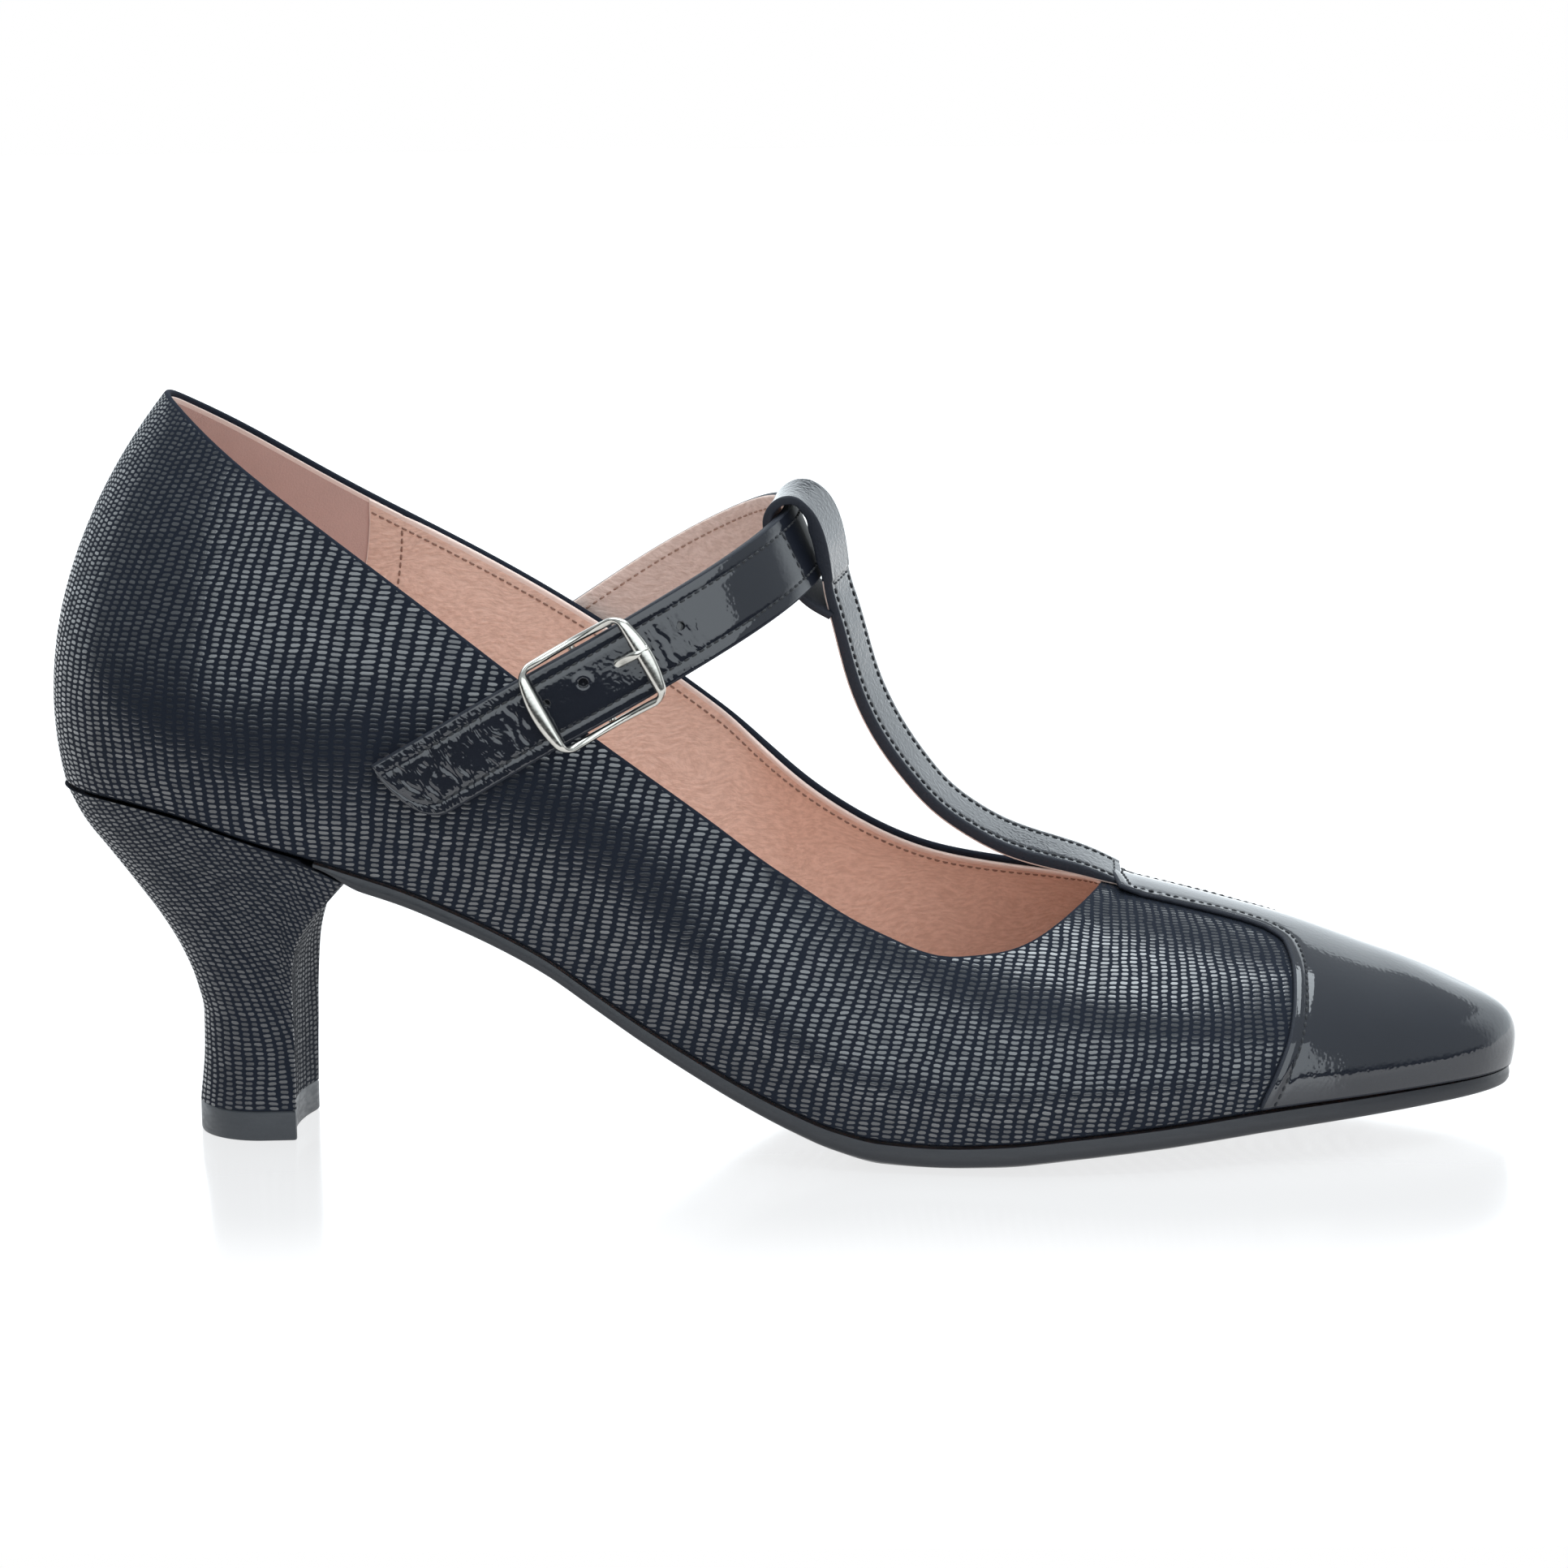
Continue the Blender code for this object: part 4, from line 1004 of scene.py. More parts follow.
class Nodes:
    """A node tree filled node by node."""

    def __init__(self, tree):
        self.tree = tree

    def put(self, socket, value):
        """Set a socket to a number or colour, or link it."""
        if isinstance(value, bpy.types.NodeSocket):
            self.tree.links.new(value, socket)
        elif isinstance(value, (tuple, list)) and len(value) == 3 and socket.type == "RGBA":
            socket.default_value = (*value, 1.0)
        else:
            socket.default_value = value

    def node(self, kind, output=0, settings=None, **inputs):
        """Add a node and return one of its outputs."""
        node = self.tree.nodes.new(kind)
        for name, value in (settings or {}).items():
            setattr(node, name, value)
        for name, value in inputs.items():
            key = int(name[1:]) if name[0] == "i" and name[1:].isdigit() else name.replace("_", " ")
            self.put(node.inputs[key], value)
        return node.outputs[output]

    def math(self, operation, a, b=0.0, c=0.0):
        """Arithmetic on numbers."""
        return self.node("ShaderNodeMath", 0, {"operation": operation}, i0=a, i1=b, i2=c)

    def step(self, value, low, high, to_low=0.0, to_high=1.0):
        """Eased step of a value between two limits."""
        return self.node(
            "ShaderNodeMapRange", 0, {"interpolation_type": "SMOOTHSTEP", "clamp": True},
            i0=value, i1=low, i2=high, i3=to_low, i4=to_high,
        )

    def axis(self, vector, number):
        """One coordinate."""
        return self.node("ShaderNodeSeparateXYZ", number, None, Vector=vector)


class Finish(Nodes):
    """One procedural material."""

    def __init__(self, name):
        self.material = bpy.data.materials.new(name)
        self.material.use_nodes = True
        super().__init__(self.material.node_tree)
        self.shader = self.tree.nodes["Principled BSDF"]

    def noise(self, vector, scale, detail=2.0, rough=0.5):
        """Soft noise about one half."""
        return self.node(
            "ShaderNodeTexNoise", 0, None, Vector=vector, Scale=scale, Detail=detail, Roughness=rough)

    def wander(self, vector, scale, detail):
        """Soft noise in three directions."""
        return self.node("ShaderNodeTexNoise", 1, None, Vector=vector, Scale=scale, Detail=detail)

    def pebbles(self, vector, scale):
        """Rounded distance in a field of cells."""
        return self.node("ShaderNodeTexVoronoi", 0, {"feature": "SMOOTH_F1"}, Vector=vector, Scale=scale)

    def chance(self, dimensions, **inputs):
        """One even random number for each whole place."""
        return self.node("ShaderNodeTexWhiteNoise", 0, {"noise_dimensions": dimensions}, **inputs)

    def vector(self, operation, a, b, c=(0.0, 0.0, 0.0)):
        """Arithmetic on vectors."""
        return self.node("ShaderNodeVectorMath", 0, {"operation": operation}, i0=a, i1=b, i2=c)

    def drawn(self, vector, scale, turn=(0.0, 0.0, 0.0)):
        """Coordinates turned and drawn out."""
        return self.node("ShaderNodeMapping", 0, None, Vector=vector, Rotation=turn, Scale=scale)

    def off(self, value, middle):
        """Distance of a value from a middle."""
        return self.math("ABSOLUTE", self.math("SUBTRACT", value, middle))

    def mix(self, share, a, b):
        """Blend of two colours."""
        return self.node("ShaderNodeMix", 2, {"data_type": "RGBA"}, i0=share, i6=a, i7=b)

    def uneven(self, share, colour, low, high):
        """Colour that wavers between two strengths of itself."""
        return self.mix(share, shade(colour, low), shade(colour, high))

    def place(self):
        """Position on the object in metres."""
        return self.node("ShaderNodeTexCoord", 3)

    def flat(self):
        """Flat coordinates of the piece in millimetres."""
        return self.node("ShaderNodeUVMap", 0, {"uv_map": "flat"})

    def bump(self, height, distance, strength=1.0, normal=None):
        """Relief of a height in metres."""
        inputs = {"Strength": strength, "Distance": distance, "Height": height}
        if normal is not None:
            inputs["Normal"] = normal
        return self.node("ShaderNodeBump", 0, None, **inputs)

    def set(self, **values):
        """Fill the shader's own sockets."""
        for name, value in values.items():
            self.put(self.shader.inputs[name.replace("_", " ")], value)
        return self.material


def shade(colour, strength):
    """Colour made darker or lighter, no brighter than white."""
    return tuple(min(c * strength, 1.0) for c in colour)


def textile_finish(name, looks, sizes, gloss=1.0):
    """Matte dark cloth with columns of small glossy foil blocks."""
    finish = Finish(name)
    flat = finish.flat()
    shift = finish.vector("SUBTRACT", finish.wander(flat, scale=0.16, detail=2.0), (0.5, 0.5, 0.5))
    spot = finish.vector("ADD", flat, finish.vector("MULTIPLY", shift, LANE_WANDER))
    lane = finish.math("DIVIDE", finish.axis(spot, 0), sizes.lane_pitch / MM)
    lane_number = finish.math("FLOOR", lane)
    lane_share = finish.math("SUBTRACT", lane, lane_number)
    lane_chance = finish.chance("1D", W=lane_number)
    row = finish.math("MULTIPLY_ADD", finish.axis(spot, 1), MM / sizes.row_pitch, lane_chance)
    row_number = finish.math("FLOOR", row)
    row_share = finish.math("SUBTRACT", row, row_number)
    pair = finish.node("ShaderNodeCombineXYZ", 0, None, X=lane_number, Y=row_number)
    chance = finish.chance("2D", Vector=pair)
    other_chance = finish.math("FRACT", finish.math("MULTIPLY", chance, CHANCE_SPLIT))
    half = finish.math("MULTIPLY_ADD", lane_chance, BLOCK_LANE_SPREAD, BLOCK_HALF_WIDTH)
    half = finish.math("MULTIPLY_ADD", chance, BLOCK_SPREAD, half)
    middle = finish.math("MULTIPLY_ADD", other_chance, BLOCK_SLIP, BLOCK_MIDDLE)
    dx = finish.math("DIVIDE", finish.off(lane_share, middle), half)
    dy = finish.math("DIVIDE", finish.off(row_share, 0.5), BLOCK_HALF_LENGTH)
    ragged = finish.math("SUBTRACT", finish.noise(flat, scale=2.6, detail=1.0), 0.5)
    reach = finish.math("ADD", finish.math("POWER", dx, BLOCK_SIDES), finish.math("POWER", dy, BLOCK_ENDS))
    reach = finish.math("ADD", reach, ragged)
    block = finish.step(reach, low=1.2, high=0.7)
    dome = finish.math("SUBTRACT", 1.0, finish.math("MINIMUM", finish.math("MAXIMUM", reach, 0.0), 1.0))
    nap = finish.noise(flat, scale=5.0, detail=3.0)
    ground = finish.uneven(finish.noise(flat, scale=0.09, detail=2.0), looks.cloth, 0.85, 1.15)
    ground = finish.mix(finish.math("MULTIPLY", nap, 0.5), ground, shade(looks.cloth, 1.6))
    least = (1.0 - BLOCK_GLOSS_SPREAD) * gloss
    shine = finish.math("MULTIPLY_ADD", chance, BLOCK_GLOSS_SPREAD * gloss, least)
    height = finish.math("MULTIPLY_ADD", nap, 0.25, finish.math("MULTIPLY", dome, 0.8))
    return finish.set(
        Base_Color=finish.mix(block, ground, tuple(looks.foil)),
        Roughness=0.85,
        Specular_IOR_Level=0.15,
        Coat_Weight=finish.math("MULTIPLY", block, shine),
        Coat_Roughness=looks.foil_roughness,
        Coat_IOR=2.15,
        Normal=finish.bump(height, distance=0.00010, strength=0.8),
        Coat_Normal=finish.bump(dome, distance=0.00001, strength=0.8),
    )


def cloth_edge_finish(looks):
    """Turned edge of the textile: matte and dark."""
    finish = Finish("cloth_edge")
    nap = finish.noise(finish.place(), scale=3800.0, detail=3.0)
    return finish.set(
        Base_Color=finish.uneven(nap, looks.cloth, 1.0, 1.6),
        Roughness=0.95,
        Specular_IOR_Level=0.2,
        Normal=finish.bump(nap, distance=0.0001),
    )


def patent_finish(name, looks, grain, wrinkle=0.0, zones=(), slim=(1.0, 1.0), shade_stretch=None):
    """Black lacquered leather under a deep clear coat, with grain and wrinkles where it has bent.

    A zone is the middle, half length and strength of a wrinkled stretch along the flat coordinates;
    the last argument is the middle and half length of a stretch whose coat is left off as painted shade.
    """
    finish = Finish(name)
    place = finish.place()
    pebble = finish.pebbles(place, scale=1500.0)
    soft = finish.noise(place, scale=260.0, detail=2.0)
    height = finish.math("MULTIPLY_ADD", soft, 0.5, finish.math("MULTIPLY", pebble, grain))
    normal = finish.bump(height, distance=0.00007, strength=0.7)
    if wrinkle:
        flat = finish.flat()
        bent = finish.vector("MULTIPLY_ADD", finish.wander(flat, scale=0.30, detail=2.0), WRINKLE_BEND, flat)
        fold = finish.noise(finish.drawn(bent, (*slim, 1.0)), scale=1.0, detail=1.2)
        strength = 1.0
        if zones:
            strength = WRINKLE_LEAST
            for middle, half, share in zones:
                off = finish.off(finish.axis(flat, 0), middle)
                stretch = finish.step(off, half, WRINKLE_CORE * half, 0.0, share)
                strength = finish.math("ADD", strength, stretch)
        normal = finish.bump(finish.math("MULTIPLY", fold, strength), wrinkle, 1.0, normal)
    coat = 1.0
    # Painted shade: the coat is left off over a stretch of the strap, where the T strap's loop shades it
    if shade_stretch:
        middle, half = shade_stretch
        off = finish.off(finish.axis(finish.flat(), 0), middle)
        coat = finish.step(off, half - SHADED_FADE, half, SHADED_COAT, 1.0)
    dust = finish.noise(place, scale=90.0, detail=4.0, rough=0.6)
    return finish.set(
        Base_Color=finish.uneven(dust, looks.patent, 1.0, 1.4),
        Roughness=0.55,
        Specular_IOR_Level=0.08,
        Coat_Weight=coat,
        Coat_Roughness=0.06,
        Coat_IOR=1.66,
        Normal=normal,
        Coat_Normal=normal,
    )


def edge_finish(looks):
    """Painted cut edge of the straps."""
    finish = Finish("patent_edge")
    fibre = finish.noise(finish.place(), scale=2400.0, detail=4.0, rough=0.65)
    return finish.set(
        Base_Color=finish.uneven(fibre, looks.patent, 1.0, 2.2),
        Roughness=0.62,
        Specular_IOR_Level=0.35,
        Normal=finish.bump(fibre, distance=0.00012),
    )


def lining_finish(name, colour, grain):
    """Soft leather with fine pebbles, drawn-out wrinkles, slight unevenness of colour and shade painted into
    the hollows of wrinkles and pebbles.
    """
    finish = Finish(name)
    place = finish.place()
    drift = finish.noise(place, scale=45.0, detail=3.0)
    pebble = finish.pebbles(place, scale=1350.0)
    fine = finish.noise(place, scale=2600.0, detail=3.0, rough=0.6)
    bent = finish.vector("MULTIPLY_ADD", finish.wander(place, scale=90.0, detail=1.0), LINING_BEND, place)
    pull = finish.noise(finish.drawn(bent, LINING_DRAW, LINING_TURN), scale=1250.0, detail=3.0, rough=0.6)
    height = finish.math("MULTIPLY_ADD", pebble, 0.45, finish.math("MULTIPLY", fine, 0.2))
    height = finish.math("MULTIPLY_ADD", pull, 1.5, height)
    # Painted shade: the base colour darkens in the hollows of the drawn wrinkles and of the pebbles
    hollow_shade = finish.math(
        "MAXIMUM", finish.step(pull, 0.72, 0.28, 0.0, 0.6), finish.step(pebble, 0.55, 0.95, 0.0, 0.4))
    deep = tuple(c * share for c, share in zip(colour, LINING_HOLLOW_SHADE))
    return finish.set(
        Base_Color=finish.mix(hollow_shade, finish.uneven(drift, colour, 0.92, 1.06), deep),
        Roughness=finish.step(drift, 0.3, 0.7, 0.5, 0.62),
        Specular_IOR_Level=0.4,
        Sheen_Weight=0.05,
        Normal=finish.bump(height, grain, strength=0.8),
    )


def suede_finish(name, colour, speckle=0.35):
    """Napped leather: matte, with a fine speckle."""
    finish = Finish(name)
    place = finish.place()
    nap = finish.noise(place, scale=3000.0, detail=4.0, rough=0.7)
    base = finish.uneven(finish.noise(place, scale=120.0, detail=3.0), colour, 0.92, 1.07)
    return finish.set(
        Base_Color=finish.mix(finish.math("MULTIPLY", nap, speckle), base, shade(colour, 0.6)),
        Roughness=0.96,
        Specular_IOR_Level=0.15,
        Sheen_Weight=0.25,
        Normal=finish.bump(nap, distance=0.00012),
    )


def moulded_finish(name, colour, roughness, grain):
    """Moulded sole rubber or heel plastic with fine scuffs."""
    finish = Finish(name)
    place = finish.place()
    speck = finish.noise(place, scale=1800.0, detail=3.0, rough=0.6)
    scuff = finish.noise(finish.drawn(place, (0.35, 1.0, 3.0)), scale=500.0, detail=3.0)
    return finish.set(
        Base_Color=finish.uneven(speck, colour, 1.0, 1.35),
        Roughness=finish.step(scuff, 0.3, 0.7, roughness - 0.06, roughness + 0.08),
        Specular_IOR_Level=0.5,
        Normal=finish.bump(finish.math("MULTIPLY_ADD", scuff, 0.4, speck), grain, strength=0.6),
    )


def nickel_finish(looks):
    """Polished nickel with faint polishing marks."""
    finish = Finish("nickel")
    marks = finish.noise(finish.drawn(finish.place(), (1.0, 1.0, 3.0)), scale=900.0, detail=3.0)
    return finish.set(
        Base_Color=finish.uneven(marks, looks.metal, 1.0, 0.94),
        Metallic=1.0,
        Roughness=finish.step(marks, 0.3, 0.7, 0.15, 0.24),
        Normal=finish.bump(marks, distance=0.00001, strength=0.5),
    )


def thread_finish(name, colour):
    """Twisted sewing thread."""
    finish = Finish(name)
    twist = finish.noise(finish.place(), scale=5200.0, detail=2.0)
    return finish.set(
        Base_Color=finish.uneven(twist, colour, 1.0, 1.5),
        Roughness=0.7,
        Sheen_Weight=0.1,
        Normal=finish.bump(twist, distance=0.00005),
    )


def length_setting(name, description, default):
    """Length that a user may change, in metres."""
    return bpy.props.FloatProperty(name=name, description=description, default=default, unit="LENGTH")


def angle_setting(name, description, degrees):
    """Angle that a user may change."""
    default = math.radians(degrees)
    return bpy.props.FloatProperty(name=name, description=description, default=default, subtype="ANGLE")


def colour_setting(name, description, default):
    """Colour that a user may change."""
    return bpy.props.FloatVectorProperty(
        name=name, description=description, default=default, subtype="COLOR")


def level_setting(name, description, default):
    """Plain number that a user may change."""
    return bpy.props.FloatProperty(name=name, description=description, default=default)


class PumpSizes(bpy.types.PropertyGroup):
    """Sizes of the pump's layers, textile repeat and stitches."""

    cloth_thick: length_setting("Textile", "Thickness of the textile layer", 0.00115)
    turned_edge: length_setting("Turned edge", "How far the textile stands above the lining", 0.0004)
    lane_pitch: length_setting("Lane pitch", "Distance between columns of foil blocks", 0.00196)
    row_pitch: length_setting("Row pitch", "Distance between foil blocks in a column", 0.00088)
    cap_thick: length_setting("Toe cap", "Thickness of the patent toe cap", 0.0009)
    stitch_length: length_setting("Stitch", "Length of a stitch", 0.00105)
    stitch_gap: length_setting("Stitch gap", "Gap between stitches", 0.0004)
    thread: length_setting("Thread", "Radius of the sewing thread", 0.00019)
    strap_seam: length_setting("Strap seam", "Distance of the stitches from the strap's edge", 0.0022)
    t_seam: length_setting("T strap seam", "Distance of the T strap's stitches from its edge", 0.0015)
    tread_pitch: length_setting("Tread pitch", "Distance between ribs of the tread", 0.0034)


class PumpLooks(bpy.types.PropertyGroup):
    """Colours and gloss of the pump's finishes."""

    cloth: colour_setting("Textile", "Ground of the textile", (0.0080, 0.0108, 0.0178))
    foil: colour_setting("Foil", "Glossy blocks of the textile", (0.0078, 0.0104, 0.0168))
    foil_roughness: bpy.props.FloatProperty(
        name="Foil roughness", description="Roughness of the glossy blocks",
        default=0.17, min=0.05, max=1.0)
    patent: colour_setting("Patent", "Lacquered leather", (0.0075, 0.0092, 0.0145))
    lining: colour_setting("Lining", "Leather lining", (0.84, 0.59, 0.485))
    strap_lining: colour_setting("Strap lining", "Lining of the straps", (0.74, 0.585, 0.52))
    grip: colour_setting("Heel grip", "Napped heel grip", (0.63, 0.42, 0.37))
    metal: colour_setting("Metal", "Buckle and prong", (0.62, 0.605, 0.56))
    sole: colour_setting("Sole", "Sole rubber", (0.012, 0.0135, 0.0175))
    tip: colour_setting("Heel tip", "Plastic top piece", (0.030, 0.034, 0.040))
    floor: colour_setting("Floor", "Lit studio floor", (0.985, 0.99, 1.0))


class PumpStage(bpy.types.PropertyGroup):
    """Camera and light."""

    azimuth: angle_setting("Azimuth", "Camera's turn to the shoe's front", 1.0)
    elevation: angle_setting("Elevation", "Camera's height angle", 10.0)
    roll: angle_setting("Roll", "Camera's roll", 0.6)
    distance: length_setting("Distance", "Camera's distance from its target", 0.8)
    target: length_setting("Target height", "Height of the camera's target", 0.0586)
    lens: level_setting("Lens", "Focal length in millimetres", 108.67)
    top_power: level_setting("Top light", "Power of the soft light overhead in watts", 16.0)
    front_power: level_setting(
        "Front light", "Power of the wide soft light behind the camera in watts", 11.0)
    shaded_floor_glow: level_setting("Floor glow", "Light given off by the lit floor", 0.75)
    front_glow: level_setting("Front glow", "Light given off by the floor in front of the shoe", 0.93)
    behind: level_setting("Background", "Brightness of the studio behind the shoe", 1.6)
    screen_top: angle_setting("Background top", "Height angle of the background's upper edge", 33.0)
    above: level_setting("Room", "Brightness of the studio round and above the shoe", 0.5)
    front: level_setting("Front floor", "Brightness of the ground in front of the lit floor", 0.03)
    tint: colour_setting("Tint", "Colour of the studio's light", (0.88, 0.955, 1.0))


def settings(context):
    """Sizes, looks and stage of the scene in use."""
    return context.scene.pump_sizes, context.scene.pump_looks, context.scene.pump_stage


class PUMP_OT_upper(bpy.types.Operator):
    """Textile vamp and quarters over the last"""

    bl_idname = "pump.upper"
    bl_label = "Textile upper"

    # Columns behind and in front of the throat, and rows
    GRID = (150, 84, 44)

    def execute(self, context):
        sizes, looks, _ = settings(context)
        thick = sizes.cloth_thick / MM
        wall = Wall(*self.GRID, 0.5 * thick)
        piece = Mesh()
        thicken(piece, wall.all, wall.normals, wall.faces, -thick, 0.0, wall.flat, (0, 1, 1), wall.bulge())
        finishes = [textile_finish("foiled_textile", looks, sizes), cloth_edge_finish(looks)]
        piece.build("vamp_and_quarters", finishes, ("upper",))
        return {"FINISHED"}


class PUMP_OT_lining(bpy.types.Operator):
    """Leather lining, napped heel grip and their stitches"""

    bl_idname = "pump.lining"
    bl_label = "Lining"

    # Columns behind and in front of the throat, and rows
    GRID = (110, 60, 30)
    GRIP_END = 3.12
    GRIP_LAYER = (-0.38, -0.05)
    LAP = 0.25
    LAP_DEPTH = 0.4
    LAP_RISE = 0.35
    LAP_FADE = 0.2
    TRIM = 0.8
    SEAM_DROP = 2.1
    SEAM_LIFT = 0.02
    THREAD = 0.2
    THREAD_COLOUR = (0.20, 0.11, 0.08)
    GRIP_SEAM = 0.22
    GRIP_SEAM_DROPS = (2.4, 40.0, 1.0)
    THROAT_CLEAR = 3

    def execute(self, context):
        sizes, looks, _ = settings(context)
        thick = sizes.cloth_thick / MM
        drop = (sizes.turned_edge + 0.5 * sizes.cloth_thick) / MM
        wall = Wall(*self.GRID, drop, self.TRIM)
        edge = wall.column_at(self.GRIP_END)
        lap = wall.column_at(self.GRIP_END + self.LAP)
        leather = lining_finish("lining_leather", looks.lining, grain=0.00016)
        raw = suede_finish("lining_edge", shade(looks.strap_lining, 1.15), speckle=0.15)
        front = Mesh()
        faces, flat = wall.run(edge, wall.size - edge)
        stations = np.repeat([u for _, u in wall.places], wall.rows + 1)
        over = self.LAP_RISE * smooth((stations - self.GRIP_END - self.LAP) / self.LAP_FADE)
        over = over - thick - self.LAP_DEPTH
        bulge = wall.bulge()
        thicken(front, wall.all, wall.normals, faces, -WALL, over, flat, (2, 1, 0), bulge, 4, wall.rows)
        front.build("quarter_lining", [leather, raw, raw])
        grip = Mesh()
        faces, flat = wall.run(wall.size - lap, wall.size + lap)
        low, high = (level - thick for level in self.GRIP_LAYER)
        thicken(grip, wall.all, wall.normals, faces, low, high, flat, (1, 1, 0), bulge, 3, wall.rows)
        grip.build("heel_grip", [suede_finish("grip_suede", looks.grip), raw])
        self.stitch(sizes, wall, edge)
        return {"FINISHED"}

    def stitch(self, sizes, wall, edge):
        """Stitch row below the lining's edge and the pair of rows beside the grip."""
        piece = Mesh()
        clear = wall.throat - self.THROAT_CLEAR
        lane = wall.column_at(self.GRIP_END + self.GRIP_SEAM)
        rows = [
            [wall.below_top(c, self.SEAM_DROP) for c in columns]
            for columns in (range(edge, clear), range(wall.size - clear, wall.size - edge + 1))
        ]
        for c in (lane, wall.size - lane):
            rows.append([wall.below_top(c, drop) for drop in np.arange(*self.GRIP_SEAM_DROPS)])
        for row in rows:
            path = [point - normal * (WALL + self.SEAM_LIFT) for point, normal in row]
            sew(piece, path, [-normal for _, normal in row], sizes, self.THREAD)
        thread = thread_finish("lining_thread", self.THREAD_COLOUR)
        piece.build("lining_stitches", [thread])


class PUMP_OT_insole(bpy.types.Operator):
    """Sock lining over the insole"""

    bl_idname = "pump.insole"
    bl_label = "Insole"

    ACROSS = 15
    RINGS = 121
    EDGE_DROP = 0.5
    EDGE_SPREAD = 1.2

    def execute(self, context):
        _, looks, _ = settings(context)
        piece = Mesh()
        rings = []
        across = np.linspace(0.0, 1.0, self.ACROSS)
        for u in np.linspace(0.0, TOE, self.RINGS):
            lat = outline_point(LATERAL, u, -INSOLE_INSET)
            med = outline_point(MEDIAL, u, -INSOLE_INSET)
            ends = [np.append(p, feather_height(p[0]) + INSOLE_LIFT) for p in (lat, med)]
            top = []
            for share in across:
                point = ends[0] + (ends[1] - ends[0]) * share
                roll = min(share, 1.0 - share) * np.linalg.norm(lat - med)
                lift = INSOLE_THICK - self.EDGE_DROP * math.exp(-roll * roll / self.EDGE_SPREAD)
                top.append(point + UP * lift)
            rings.append(top + [ends[1], ends[0]])
        piece.rings(rings)
        leather = lining_finish("sock_leather", looks.lining, grain=0.00012)
        piece.build("sock_lining", [leather], ("insole",))
        return {"FINISHED"}


class PUMP_OT_outsole(bpy.types.Operator):
    """Long sole with its rounded edge and ribbed tread"""

    bl_idname = "pump.outsole"
    bl_label = "Sole"

    RIB_DEPTH = 0.35
    RIB_START_X = -6.0
    RIB_END_X = 104.0
    RIB_FADE = 4.0
    RIB_INSET = 4.0
    RIB_INSET_FADE = 1.5
    RIB_SLANT = 0.35
    RIB_CUT = (0.45, 0.4)
    RINGS = 331
    CROWDING = 1.15
    BULGE_POWER = 1.6
    HALF_SHARE = 0.46
    INSETS = (1.6, 3.0, 4.4, 5.6, 7.2, 9.2, 12.5, 16.5, 21.0, 27.0)
    EDGE = ((0.0, 0.0), (0.14, 0.25), (0.2, 0.5), (0.12, 0.78), (-0.15, 0.94), (-0.55, 1.0))

    def height(self, x, y, inset, pitch):
        """Underside of the tread at a distance from its edge, with the ribs cut in."""
        share = min(inset / SOLE_BULGE_INSET, 1.0)
        base = sole_under(x) + (sole_bottom(x) - sole_under(x)) * (1.0 - (1.0 - share) ** self.BULGE_POWER)
        inside = smooth((inset - self.RIB_INSET) / self.RIB_INSET_FADE)
        for reach in (x - self.RIB_START_X, self.RIB_END_X - x):
            inside = inside * smooth(reach / self.RIB_FADE)
        wave = 0.5 + 0.5 * math.cos(2.0 * math.pi * (x + self.RIB_SLANT * y) / pitch)
        return base + self.RIB_DEPTH * inside * smooth((wave - self.RIB_CUT[0]) / self.RIB_CUT[1])

    def execute(self, context):
        sizes, looks, _ = settings(context)
        pitch = sizes.tread_pitch / MM
        piece = Mesh()
        rings = []
        start = station_at(SOLE_REAR_X)
        share = np.linspace(0.0, 1.0, self.RINGS)
        for u in start + (TOE - start) * (1.0 - (1.0 - share) ** self.CROWDING):
            width = abs(plan_y[MEDIAL](u) - plan_y[LATERAL](u))
            halves = {}
            for side in (LATERAL, MEDIAL):
                points = []
                top = outline_point(side, u, SOLE_OVERHANG)
                high = feather_height(top[0]) - GAP
                for out, down in self.EDGE:
                    spot = outline_point(side, u, SOLE_OVERHANG + out)
                    points.append((*spot, high + (sole_under(top[0]) - high) * down))
                for inset in self.INSETS:
                    inset = min(inset, self.HALF_SHARE * width)
                    spot = outline_point(side, u, SOLE_OVERHANG - inset)
                    points.append((*spot, self.height(spot[0], spot[1], inset, pitch)))
                halves[side] = points
            rings.append(halves[LATERAL] + halves[MEDIAL][::-1])
        piece.rings(rings, caps=0)
        rubber = moulded_finish("sole_rubber", looks.sole, roughness=0.36, grain=0.00003)
        piece.build("long_sole", [rubber], ("outsole",), crease=40.0)
        return {"FINISHED"}


